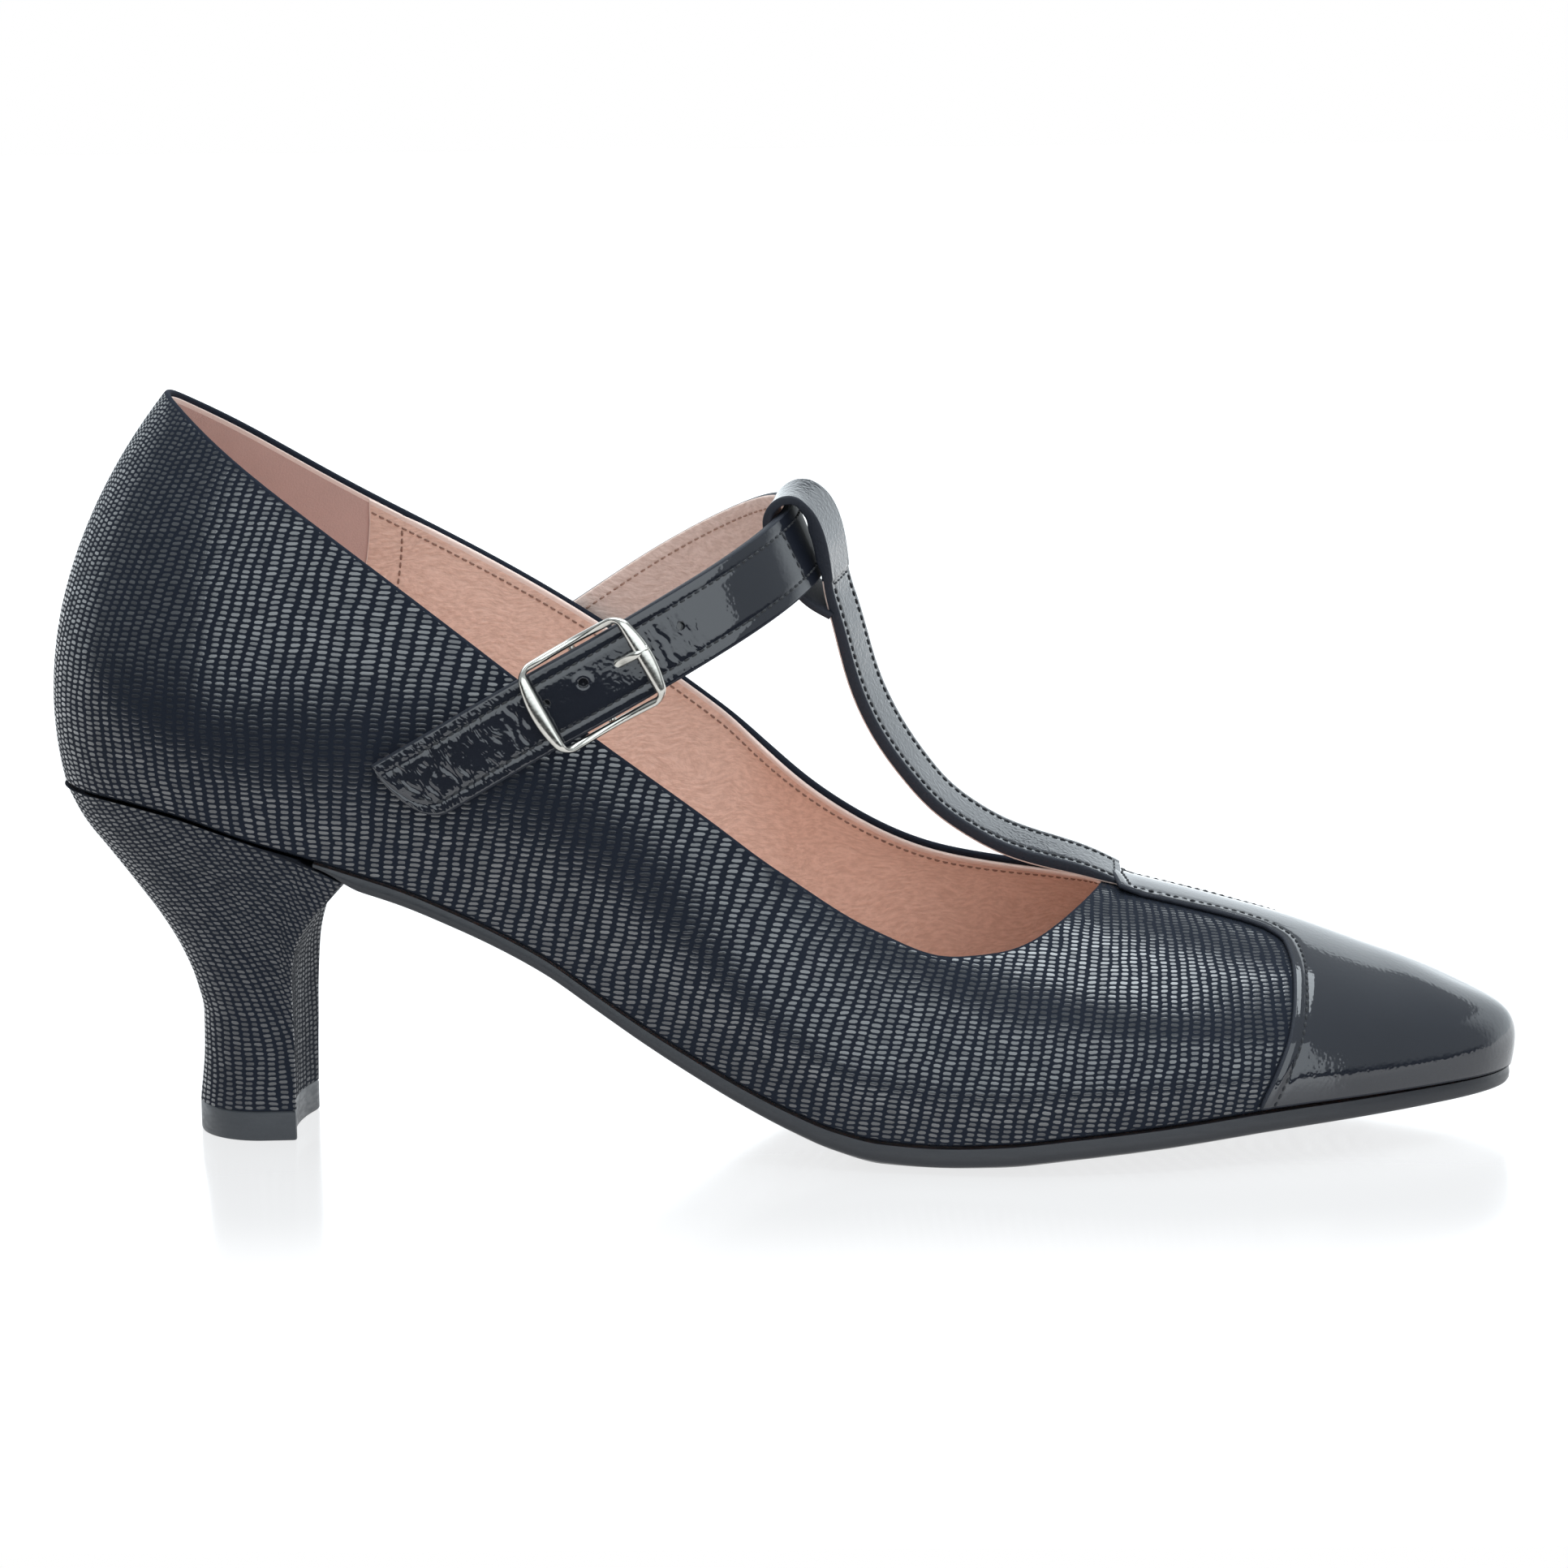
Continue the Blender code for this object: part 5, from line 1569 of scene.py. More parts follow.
class PUMP_OT_heel(bpy.types.Operator):
    """Covered heel and its plastic top piece"""

    bl_idname = "pump.heel"
    bl_label = "Heel"

    LEVELS = (*np.linspace(0.0, 0.984, 54), 0.988, 0.992, 0.996, 0.9985, 1.0)
    BACK_POINTS = 25
    SIDE_POINTS = 19
    BREAST_POINTS = 16
    TIP_CLEAR = 0.1
    INNER_LANES = 600.0
    BREAST_LANES = 900.0
    LANE_START = 1000.0
    GLOSS = 0.85
    # Foil gloss on the heel's breast, kept low as painted shade where the sole's arch hides the floor it
    # would reflect
    BREAST_SHADE_GLOSS = 0.4
    TIP_RADIUS = 10.0
    TIP_RIMS = ((0.0, 0.45), (0.12, 0.15), (0.45, 0.0), (4.9, 0.0), (HEEL_TIP_HEIGHT, 0.2))

    def outlines(self, side):
        """Matching points of tip and seat from the back to the front corner."""
        tip = []
        seat = []
        widest = TIP_BACK_X + TIP_ROUND
        back = PLAN["x"][0]
        seats = HEEL_SIDE["seat_x"]
        shares = HEEL_SIDE["tip_share"]
        for angle in np.linspace(0.0, 0.5 * math.pi, self.BACK_POINTS):
            run = max(math.cos(angle), 0.0)
            tip.append((widest - TIP_ROUND * run, side * TIP_HALF_WIDTH * math.sin(angle)))
            u = station_at(back + (seats[0] - back) * (1.0 - run))
            seat.append(outline_point(side, u if angle > 0.0 else 0.0, 0.0))
        for share in np.linspace(0.0, 1.0, self.SIDE_POINTS)[1:]:
            x = widest + (TIP_FRONT_X[side] - widest) * share
            tip.append((x, side * (TIP_HALF_WIDTH - TIP_TAPER * share)))
            seat.append(outline_point(side, station_at(np.interp(share, shares, seats)), 0.0))
        return tip, seat

    def top(self, x):
        """Top of the heel: under the sole's end in front, under the upper behind it."""
        step = min(max((x - HEEL_STEP_X[0]) / (HEEL_STEP_X[1] - HEEL_STEP_X[0]), 0.0), 1.0)
        return (1.0 - step) * (feather_height(x) - GAP) + step * (sole_bottom(x) - HEEL_SOLE_GAP)

    def ring(self, level, base):
        """Ring of the heel at a level with its breast corners eased."""
        back, breast, spread = (grow(level) for grow in HEEL_GROW)
        sides = {}
        for side in (LATERAL, MEDIAL):
            tip, seat = self.shapes[side]
            points = []
            for t, s in zip(tip, seat):
                share = min(max((s[0] - seat[0][0]) / (seat[-1][0] - seat[0][0]), 0.0), 1.0)
                grow = back * (1.0 - share) + breast * share
                points.append(np.array([
                    t[0] + (s[0] - t[0]) * grow,
                    t[1] + (s[1] - t[1]) * spread,
                    base + level * (self.top(s[0]) - base),
                ]))
            sides[side] = points
        a = sides[LATERAL][-1]
        b = sides[MEDIAL][-1]
        front = []
        for share in np.linspace(0.0, 1.0, self.BREAST_POINTS)[1:-1]:
            point = a + (b - a) * share
            point[0] -= BREAST_HOLLOW * (1.0 - level ** 3) * (1.0 - (2.0 * share - 1.0) ** 2)
            front.append(point)
        ring = np.array(sides[LATERAL] + front + sides[MEDIAL][:0:-1])
        corners = (len(sides[LATERAL]) - 1, len(sides[LATERAL]) + len(front))
        for corner in corners:
            for _ in range(2):
                near = np.arange(corner - 1, corner + 2)
                ring[near] = 0.5 * ring[near] + 0.25 * (ring[near - 1] + ring[near + 1])
        away = np.roll(ring, -1, axis=0) - np.roll(ring, 1, axis=0)
        away = np.stack([away[:, 1], -away[:, 0], 0.0 * away[:, 0]], axis=1)
        away /= np.linalg.norm(away, axis=1)[:, None]
        below = (1.0 - level) * (self.top(PLAN["x"][1]) - base)
        return ring + away * rolled(below, HEEL_ROLL)

    def weave(self, rings):
        """Flat coordinates of the cover: lanes follow the heel's back at an even distance."""
        flat = []
        drop = np.zeros(len(rings[0]))
        last = rings[0]
        corner = len(self.shapes[LATERAL][0]) - 1
        other = len(rings[0]) - corner
        order = np.arange(len(rings[0]))
        for ring in rings:
            drop = drop + np.linalg.norm(ring - last, axis=1)
            last = ring
            step = np.linalg.norm(np.roll(ring, -1, axis=0) - ring, axis=1)
            around = np.append(0.0, np.cumsum(step[:-1]))
            middle = 0.5 * (around[corner] + around[other])
            around = np.where(order > other, around - step.sum() - self.INNER_LANES, around)
            breast = (order > corner) & (order <= other)
            around = np.where(breast, around - middle + self.BREAST_LANES, around)
            flat.append(list(zip(around, drop + self.LANE_START)))
        return flat

    def execute(self, context):
        sizes, looks, _ = settings(context)
        self.shapes = {side: self.outlines(side) for side in (LATERAL, MEDIAL)}
        rings = [self.ring(level, HEEL_TIP_HEIGHT + self.TIP_CLEAR) for level in self.LEVELS]
        piece = Mesh()
        corner = len(self.shapes[LATERAL][0]) - 1
        size = len(rings[0])
        kinds = [2 if corner <= j < size - corner else 0 for j in range(size)]
        piece.rings([list(ring) for ring in rings], [kinds] * len(rings), self.weave(rings), 1)
        finishes = [
            textile_finish("heel_textile", looks, sizes, self.GLOSS), cloth_edge_finish(looks),
            textile_finish("breast_textile_shaded", looks, sizes, self.BREAST_SHADE_GLOSS),
        ]
        piece.build("heel_cover", finishes, ("heel",))
        tip = Mesh()
        ring = rings[0]
        centre = ring.mean(axis=0)
        rims = []
        for height, inset in self.TIP_RIMS:
            level = ring - (ring - centre) * (inset / self.TIP_RADIUS)
            level[:, 2] = height
            rims.append(list(level))
        tip.rings(rims, caps=0)
        plastic = moulded_finish("tip_plastic", looks.tip, roughness=0.42, grain=0.00003)
        tip.build("top_piece", [plastic], ("heel_tip",), crease=35.0)
        return {"FINISHED"}


class PUMP_OT_toe_cap(bpy.types.Operator):
    """Patent toe cap with its spine and stitches"""

    bl_idname = "pump.toe_cap"
    bl_label = "Toe cap"

    COLUMNS = 56
    LIFT = 0.04
    LAP = 0.7
    LAP_LENGTH = 0.34
    LAP_SHARE = (0.8, 0.06)
    SEAM = 1.9
    SEAM_CLEAR = 0.85
    SEAM_SIGHT = 4
    SEAM_STEP = 0.4
    TROUGH = (0.13, 0.55)
    RIDGE = (0.10, 0.5)
    CROWDING = 1.5
    # Stretches up the wall, each from a share to a share of its height, and their rows
    STRETCHES = ((0.02, 0.80, 50), (0.80, 0.848, 34), (0.848, 1.0, 18))
    THREAD_COLOUR = (0.010, 0.011, 0.014)

    def sheet(self):
        """Points of the cap on the last, from the outer to the inner feather line, and their lift."""
        edge = monotone(CAP_EDGE["share"], CAP_EDGE["station"])
        shares = np.unique(np.concatenate([np.linspace(*stretch) for stretch in self.STRETCHES]))
        rows = []
        lifts = []
        for side, order in ((LATERAL, shares), (MEDIAL, shares[-2::-1])):
            for v in order:
                start = float(edge(v))
                stations = start + (TOE - start) * np.linspace(0.0, 1.0, self.COLUMNS + 1) ** self.CROWDING
                rows.append([wall_point(wall_column(side, u), v) for u in stations])
                lap = self.LAP * smooth((THROAT + self.LAP_LENGTH - stations) / self.LAP_LENGTH)
                lifts.append(self.LIFT + lap * smooth((v - self.LAP_SHARE[0]) / self.LAP_SHARE[1]))
        rows = np.array(rows)
        return rows, np.concatenate(lifts) + self.seam(rows)

    def seam(self, grid):
        """Soft trough where the stitches pull the cap down, and its falling edge."""
        points = grid.reshape(-1, 3)
        away = np.full(len(points), np.inf)
        for spot in grid[:, 0]:
            away = np.minimum(away, np.linalg.norm(points - spot, axis=1))
        trough = self.TROUGH[0] * np.exp(-((away - self.SEAM) / self.TROUGH[1]) ** 2)
        return self.RIDGE[0] * np.exp(-((away - 0.5 * self.SEAM) / self.RIDGE[1]) ** 2) - trough

    def execute(self, context):
        sizes, looks, _ = settings(context)
        grid, lift = self.sheet()
        count, size = grid.shape[:2]

        def index(i, j):
            return (count - 1 - i if j == size - 1 and i > count // 2 else i) * size + j

        faces = []
        for i in range(count - 1):
            for j in range(size - 1):
                faces.append((index(i, j), index(i, j + 1), index(i + 1, j + 1), index(i + 1, j)))
        points = grid.reshape(-1, 3)
        normals = vertex_normals(points, faces)
        flat = [[(0.0, 0.0)] * 4] * len(faces)
        piece = Mesh()
        thick = sizes.cap_thick / MM
        thicken(piece, points, normals, faces, lift, lift + thick, flat, (0, 1, 1))
        finishes = [patent_finish("cap_patent", looks, grain=0.35), edge_finish(looks)]
        piece.build("toe_cap_patent", finishes, ("toe_cap",))
        self.stitch(sizes, grid, points + normals * (lift + thick)[:, None], faces)
        return {"FINISHED"}

    def stitch(self, sizes, grid, points, faces):
        """Stitch row just inside the cap's edge, up each side, along the spine and across its end."""
        surface = BVHTree.FromPolygons([Vector(p) for p in points], faces)
        edge = grid[:, 0]
        length = run_lengths(edge)
        edge = line_point(length, edge, np.arange(0.0, length[-1], self.SEAM_STEP)).T
        found = []
        for i, spot in enumerate(edge):
            ahead = unit(edge[min(i + self.SEAM_SIGHT, len(edge) - 1)] - edge[max(i - self.SEAM_SIGHT, 0)])
            _, normal, _, _ = surface.find_nearest(Vector(spot))
            inward = unit(np.cross(ahead, np.array(normal)))
            found.append(surface.find_nearest(Vector(spot + inward * self.SEAM))[:2])
        path, facing = np.array(found).transpose(1, 0, 2)
        clear = np.array([np.linalg.norm(edge - spot, axis=1).min() for spot in path])
        keep = np.flatnonzero(clear > self.SEAM_CLEAR * self.SEAM)
        piece = Mesh()
        sew(piece, path[keep], facing[keep], sizes)
        piece.build("cap_stitches", [thread_finish("dark_thread", self.THREAD_COLOUR)])


class PUMP_OT_straps(bpy.types.Operator):
    """T strap and ankle strap with their linings, creases, holes and stitches"""

    bl_idname = "pump.straps"
    bl_label = "Straps"

    ACROSS = 40
    ROUND = 0.35
    LOOP_SEAM = 94.6
    LOOP_TACK = 42.0
    # Loop of the T strap: lift of its face, its thicker back and where both begin and end
    LOOP_LIFT = 0.25
    LOOP_STEP = 0.5
    LOOP_ROLL = 3.0
    LOOP_TAIL = 6.0
    LOOP_FADE = 4.0
    LOOP_PAD = 0.7
    PAD_START = 1.0
    PAD_FADE = 3.0
    PAD_END = 13.0
    LOOP_SAMPLES = 800
    ANKLE_RINGS = (110, 190, 26)
    T_RINGS = 301
    BEVEL = 0.1
    BACK_POINTS = 9
    # Wrinkled stretches of the ankle strap from the buckle's middle, towards the free end is plus:
    # middle, half length and strength
    WRINKLES = ((27.5, 15.0, 1.0), (13.0, 4.0, 0.5), (-14.5, 6.5, 0.5), (-4.0, 4.0, 0.12))
    # Stretch of the ankle strap round the T strap's loop, from the buckle's middle: middle and half length;
    # its coat is left off as painted shade
    LOOP_SHADE = (-52.5, 11.5)
    ANKLE_FOLDS = (0.95, 0.28)
    T_FOLDS = (1.5, 1.1)
    # Trough under the stitches, its width, how far the edge falls beyond it and the crown between
    TROUGH = 0.12
    TROUGH_WIDTH = 0.45
    EDGE_FALL = 0.05
    CROWN = 0.06
    # Creases: sway, its waves across the strap, fade at the ends and lift of the ridge beside one
    SWAY = 0.35
    SWAY_TURN = 1.3
    SWAY_SHIFT = 7.0
    CREASE_FADE = 1.2
    CREASE_RIDGE = 0.55
    CREASE_RIDGE_OFF = 1.6
    CREASE_REACH = 3.5
    FINE_START = 22.0
    TIP_END = 0.985
    TIP_LEAST = 0.97
    HOLE_SIDES = 28
    HOLE_ABOVE = 2.0
    STITCH_STEP = 0.8
    STITCH_SINK = 0.06
    TACK_SINK = 0.02
    T_SINK = 0.03
    T_START = 1.2
    ROW_CLEAR = 0.6
    ROW_POINTS = 12
    TIP_POINTS = 16
    END_CLEAR = 0.5
    THREAD_COLOUR = (0.012, 0.013, 0.016)
    TAN_COLOUR = (0.26, 0.16, 0.12)

    def section(self, low, high, thick, relief, deep=0.0):
        """Places across and above the strap's middle round its section, outer face first."""
        r = self.ROUND
        across = np.linspace(low + r, high - r, self.ACROSS + 1)
        ring = [(y, 0.5 * thick + relief(y)) for y in across]
        half = 0.5 * thick + deep
        b = self.BEVEL
        first = ring[0][1]
        last = ring[-1][1]
        ring += [(high - b, last - b), (high, last - r), (high, -half + r), (high - b, -half + b)]
        ring += [(y, -half) for y in np.linspace(high - r, low + r, self.BACK_POINTS)]
        return ring + [(low + b, -half + b), (low, -half + r), (low, first - r), (low + b, first - b)]

    def strip(self, piece, places, frame_at, bounds, thick_at, relief, lined, deep=None):
        """Strap swept along its path, lined where told."""
        rings = []
        flat = []
        kinds = []
        for s in places:
            centre, width, face = frame_at(s)
            low, high = bounds(s)
            ring = self.section(low, high, thick_at(s), lambda y: relief(s, y), deep(s) if deep else 0.0)
            rings.append([centre + width * y + face * h for y, h in ring])
            flat.append([(s, y) for y, _ in ring])
            back = 2 if lined(s) else 1
            kinds.append([0] * self.ACROSS + [1] * 3 + [back] * (self.BACK_POINTS + 3) + [1] * 3)
        piece.rings(rings, kinds, flat, 1)

    def seam_dip(self, y, low, high, inset):
        """Soft trough where the stitches pull the strap down, and edges that fall away beside it."""
        dip = 0.0
        for edge, out in ((low + inset, low + inset - y), (high - inset, y - high + inset)):
            dip -= self.TROUGH * math.exp(-((y - edge) / self.TROUGH_WIDTH) ** 2)
            dip -= self.EDGE_FALL * smooth(out / inset) ** 2
        middle = 0.5 * (low + high)
        return dip + self.CROWN * (1.0 - ((y - middle) / (0.5 * (high - low) + 0.01)) ** 2)

    def ring_mark(self, s, y):
        """Raised ring that a pin has pressed round a hole."""
        lift = 0.0
        for place, across, _, ring in HOLES.rows:
            if ring:
                off = math.hypot(BUCKLE_S - s - place, y - across)
                lift += RING_LIFT * math.exp(-((off - ring) / RING_WIDTH) ** 2)
        return lift

    def ankle_bounds(self, s):
        """Lower and upper edge of the ankle strap; the free end is rounded off below."""
        half = 0.5 * STRAP_WIDTH
        share = max((s - ANKLE_LENGTH + STRAP_TIP_SLANT) / STRAP_TIP_SLANT, 0.0)
        share = min(share, self.TIP_LEAST)
        return half - 2.0 * half * (1.0 - share ** 2) ** 0.5, half

    def crease(self, s, y):
        """Depth of the listed creases at a place on the ankle strap."""
        along = BUCKLE_S - s
        depth = 0.0
        for place, slant, deep, width, wave, low, high in CREASES.rows:
            sway = self.SWAY * wave * math.sin(self.SWAY_TURN * y + self.SWAY_SHIFT * place)
            off = (along - place - slant * y - sway) / width
            if abs(off) < self.CREASE_REACH:
                window = smooth((y - low) / self.CREASE_FADE) * smooth((high - y) / self.CREASE_FADE)
                ridge = self.CREASE_RIDGE * math.exp(-(off + self.CREASE_RIDGE_OFF) ** 2)
                depth += deep * window * (ridge - math.exp(-off * off))
        return depth

    def execute(self, context):
        sizes, looks, _ = settings(context)
        zones = [(BUCKLE_S + off, half, strength) for off, half, strength in self.WRINKLES]
        # Stretch round the T strap's loop whose coat is left off as painted shade
        loop_shade = (BUCKLE_S + self.LOOP_SHADE[0], self.LOOP_SHADE[1])
        patent = patent_finish(
            "strap_patent", looks, grain=0.3, wrinkle=0.00022, zones=zones, slim=self.ANKLE_FOLDS,
            shade_stretch=loop_shade)
        grained = patent_finish("t_patent", looks, grain=0.55, wrinkle=0.00010, slim=self.T_FOLDS)
        edge = edge_finish(looks)
        back = lining_finish("strap_lining", looks.strap_lining, grain=0.00016)
        inset = sizes.strap_seam / MM
        ankle = Mesh()

        def ankle_relief(s, y):
            low, high = self.ankle_bounds(s)
            return self.seam_dip(y, low, high, inset) + self.crease(s, y) + self.ring_mark(s, y)

        fine = BUCKLE_S - self.FINE_START
        tip = np.sin(np.linspace(0.0, 0.5 * math.pi, self.ANKLE_RINGS[2])[1:]) * self.TIP_END
        places = np.concatenate([
            np.linspace(0.0, fine, self.ANKLE_RINGS[0]),
            np.linspace(fine, ANKLE_LENGTH - STRAP_TIP_SLANT, self.ANKLE_RINGS[1])[1:],
            ANKLE_LENGTH - STRAP_TIP_SLANT * (1.0 - tip),
        ])
        self.strip(
            ankle, places, ankle_frame, self.ankle_bounds, lambda s: STRAP_THICK, ankle_relief,
            lambda s: True)
        strap = ankle.build("ankle_strap_patent", [patent, edge, back], ("ankle_strap",))
        self.punch(strap)
        tee = Mesh()
        half = 0.5 * T_WIDTH
        seam = self.loop_start()
        t_inset = sizes.t_seam / MM

        def t_relief(s, y):
            fade = smooth((seam + self.LOOP_ROLL - s) / self.LOOP_FADE)
            step = self.LOOP_LIFT * smooth((s - seam) / self.LOOP_STEP)
            step = step * smooth((T_LENGTH - self.LOOP_TAIL - s) / self.LOOP_FADE)
            return fade * self.seam_dip(y, -half, half, t_inset) + step

        def loop_pad(s):
            begun = smooth((s - seam - self.PAD_START) / self.PAD_FADE)
            return self.LOOP_PAD * begun * smooth((seam + self.PAD_END - s) / self.LOOP_FADE)

        places = np.linspace(0.0, T_LENGTH, self.T_RINGS)
        self.strip(
            tee, places, t_frame, lambda s: (-half, half), T_PATH["thick"], t_relief, lambda s: s < seam,
            loop_pad)
        tee.build("t_strap_patent", [grained, edge, back], ("t_strap",))
        self.stitch(sizes, inset)
        return {"FINISHED"}

    def loop_start(self):
        """Length along the T strap of the seam where the loop begins."""
        places = np.linspace(0.0, 0.8 * T_LENGTH, self.LOOP_SAMPLES)
        return places[int(np.argmax(T_PATH["z"](places) > self.LOOP_SEAM))]

    def punch(self, strap):
        """Cut the punched holes into the strap's face, down to its lining."""
        for place, across, radius, _ in HOLES.rows:
            rings = []
            for height in (0.5 * STRAP_THICK - HOLE_DEPTH, 0.5 * STRAP_THICK + self.HOLE_ABOVE):
                rings.append([
                    buckle_point(place + radius * math.cos(a), across + radius * math.sin(a), height)
                    for a in turns(self.HOLE_SIDES)
                ])
            bore = Mesh()
            bore.rings(rings, caps=0)
            tool = bore.solid("bore", crease=30.0)
            cut = strap.modifiers.new("hole", "BOOLEAN")
            cut.operation = "DIFFERENCE"
            cut.solver = "EXACT"
            cut.object = tool
            bpy.context.view_layer.objects.active = strap
            bpy.ops.object.modifier_apply(modifier=cut.name)
            bpy.data.objects.remove(tool)

    def stitch(self, sizes, inset):
        """Rows along both edges of the straps, round the free end and on the strap linings."""
        dark = Mesh()
        tan = Mesh()
        half = 0.5 * STRAP_WIDTH - inset
        face = 0.5 * STRAP_THICK - self.STITCH_SINK
        skip = 0.5 * BUCKLE_OPENING[0] + BUCKLE_END_BAR + self.ROW_CLEAR
        end = ANKLE_LENGTH - STRAP_TIP_SLANT - self.END_CLEAR
        for edge in (-half, half):
            spots = [(s, edge) for s in np.arange(1.0, end, self.STITCH_STEP)]
            self.row(dark, spots, ankle_frame, face, 1.0, sizes)
            spots = [(s, edge) for s in np.arange(1.0, BUCKLE_S - skip, self.STITCH_STEP)]
            self.row(tan, spots, ankle_frame, 0.5 * STRAP_THICK, -1.0, sizes)
        tip = []
        for angle in np.linspace(0.0, 0.5 * math.pi, self.TIP_POINTS):
            s = end + (STRAP_TIP_SLANT - inset) * math.sin(angle)
            tip.append((s, half - 2.0 * half * math.cos(angle)))
        self.row(dark, tip, ankle_frame, face, 1.0, sizes)
        across = [(BUCKLE_S - self.LOOP_TACK, y) for y in np.linspace(-half, half, self.ROW_POINTS)]
        self.row(dark, across, ankle_frame, 0.5 * STRAP_THICK - self.TACK_SINK, 1.0, sizes)
        side = 0.5 * T_WIDTH - sizes.t_seam / MM
        seam = self.loop_start() - self.ROW_CLEAR
        for edge in (-side, side):
            spots = [(s, edge) for s in np.arange(self.T_START, seam, self.STITCH_STEP)]
            self.row(dark, spots, t_frame, None, 1.0, sizes)
        for place in (self.T_START, seam):
            spots = [(place, y) for y in np.linspace(-side, side, self.ROW_POINTS)]
            self.row(dark, spots, t_frame, None, 1.0, sizes)
        dark.build("strap_stitches", [thread_finish("strap_thread", self.THREAD_COLOUR)])
        tan.build("strap_lining_stitches", [thread_finish("tan_thread", self.TAN_COLOUR)])

    def row(self, piece, spots, frame_at, height, facing, sizes):
        """Stitch row through places along and across a strap."""
        path = []
        normals = []
        for s, y in spots:
            centre, width, face = frame_at(s)
            lift = 0.5 * T_PATH["thick"](s) - self.T_SINK if height is None else height
            path.append(centre + width * y + face * lift * facing)
            normals.append(face * facing)
        sew(piece, path, normals, sizes)


class PUMP_OT_buckle(bpy.types.Operator):
    """Nickel buckle, its bar and its prong"""

    bl_idname = "pump.buckle"
    bl_label = "Buckle"

    BAR_SIDES = 18
    SWING_POWER = 0.8
    RISE_POWER = 0.9
    ROD_SIDES = 16
    PRONG_RINGS = 33
    PRONG_SINK = 0.6
    PRONG_CLEAR = 0.02
    PRONG_TAIL = 1.0
    PRONG_CLIMB = 0.7
    PRONG_TAPER = 0.2
    PRONG_NOSE = 0.07

    def outline(self, length, width, corner, bow):
        """Rounded rectangle round the buckle with its ends bowed out."""
        points = []
        corners = ((1, 1), (-1, 1), (-1, -1), (1, -1))
        for i, (cx, cy) in enumerate(corners):
            centre = np.array([cx * (0.5 * length - corner), cy * (0.5 * width - corner)])
            for k in range(13):
                angle = math.radians(90.0 * i + 7.5 * k)
                points.append(centre + corner * np.array([math.cos(angle), math.sin(angle)]))
            nx, ny = corners[(i + 1) % 4]
            turn = math.radians(90.0 * i + 90.0)
            goal = np.array([nx * (0.5 * length - corner), ny * (0.5 * width - corner)])
            goal = goal + corner * np.array([math.cos(turn), math.sin(turn)])
            start = points[-1]
            for share in np.linspace(0.0, 1.0, 17)[1:-1]:
                points.append(start + (goal - start) * share)
        for point in points:
            point[0] += math.copysign(bow * (1.0 - (2.0 * point[1] / width) ** 2), point[0])
        return points

    def height(self, along):
        """Height of the frame above the strap's middle, low at the bar and high at the ends."""
        reach = abs(along) / (0.5 * BUCKLE_OPENING[0])
        return BUCKLE_LOW + (BUCKLE_HIGH - BUCKLE_LOW) * reach ** 2

    def execute(self, context):
        _, looks, _ = settings(context)
        metal = nickel_finish(looks)
        length, width = BUCKLE_OPENING
        ends = 2.0 * (BUCKLE_END_BAR - BUCKLE_END_BOW)
        outer = self.outline(length + ends, width + 2.0 * BUCKLE_BAR, BUCKLE_CORNER, BUCKLE_END_BOW)
        inner = self.outline(length, width, BUCKLE_INNER_CORNER, 0.0)
        piece = Mesh()
        rings = []
        for (ox, oy), (ix, iy) in zip(outer, inner):
            mx = 0.5 * (ox + ix)
            my = 0.5 * (oy + iy)
            ring = []
            for angle in turns(self.BAR_SIDES):
                swing = math.copysign(abs(math.cos(angle)) ** self.SWING_POWER, math.cos(angle))
                rise = math.copysign(abs(math.sin(angle)) ** self.RISE_POWER, math.sin(angle))
                x = mx + 0.5 * (ox - ix) * swing
                y = my + 0.5 * (oy - iy) * swing
                ring.append(buckle_point(x, y, self.height(mx) + 0.5 * BUCKLE_BAR * BAR_FULLNESS * rise))
            rings.append(ring)
        rings.append(rings[0])
        piece.rings(rings)
        height = -0.5 * STRAP_THICK - GAP - 0.5 * CENTRE_BAR
        bar = []
        span = 0.5 * (width + BUCKLE_BAR)
        for share in np.linspace(-1.0, 1.0, 9):
            bar.append([
                buckle_point(
                    0.5 * CENTRE_BAR * math.cos(a), share * span, height + 0.5 * CENTRE_BAR * math.sin(a))
                for a in turns(self.ROD_SIDES)
            ])
        piece.rings(bar, caps=0)
        piece.build("buckle_frame", [metal], ("buckle",), crease=60.0)
        prong = Mesh()
        rest = BUCKLE_HIGH + 0.5 * BUCKLE_BAR * BAR_FULLNESS + self.PRONG_CLEAR + 0.5 * PRONG_THICK
        root = 0.5 * STRAP_THICK - self.PRONG_SINK
        rings = []
        start = PRONG_START - self.PRONG_TAIL
        for share in np.linspace(0.0, 1.0, self.PRONG_RINGS):
            along = start + (PRONG_END - start) * share
            blend = smooth(min(share / self.PRONG_CLIMB, 1.0))
            nose = max((share - 1.0 + self.PRONG_NOSE) / self.PRONG_NOSE, 0.0)
            size = (1.0 - self.PRONG_TAPER * share) * math.sqrt(max(1.0 - nose ** 2, 0.02))
            middle = root + (rest - root) * blend
            rings.append([
                buckle_point(
                    along, PRONG_ACROSS + 0.5 * PRONG_WIDTH * size * math.cos(a),
                    middle + 0.5 * PRONG_THICK * size * math.sin(a))
                for a in turns(self.ROD_SIDES)
            ])
        prong.rings(rings, caps=0)
        prong.build("prong", [metal], ("buckle_prong",), crease=60.0)
        return {"FINISHED"}


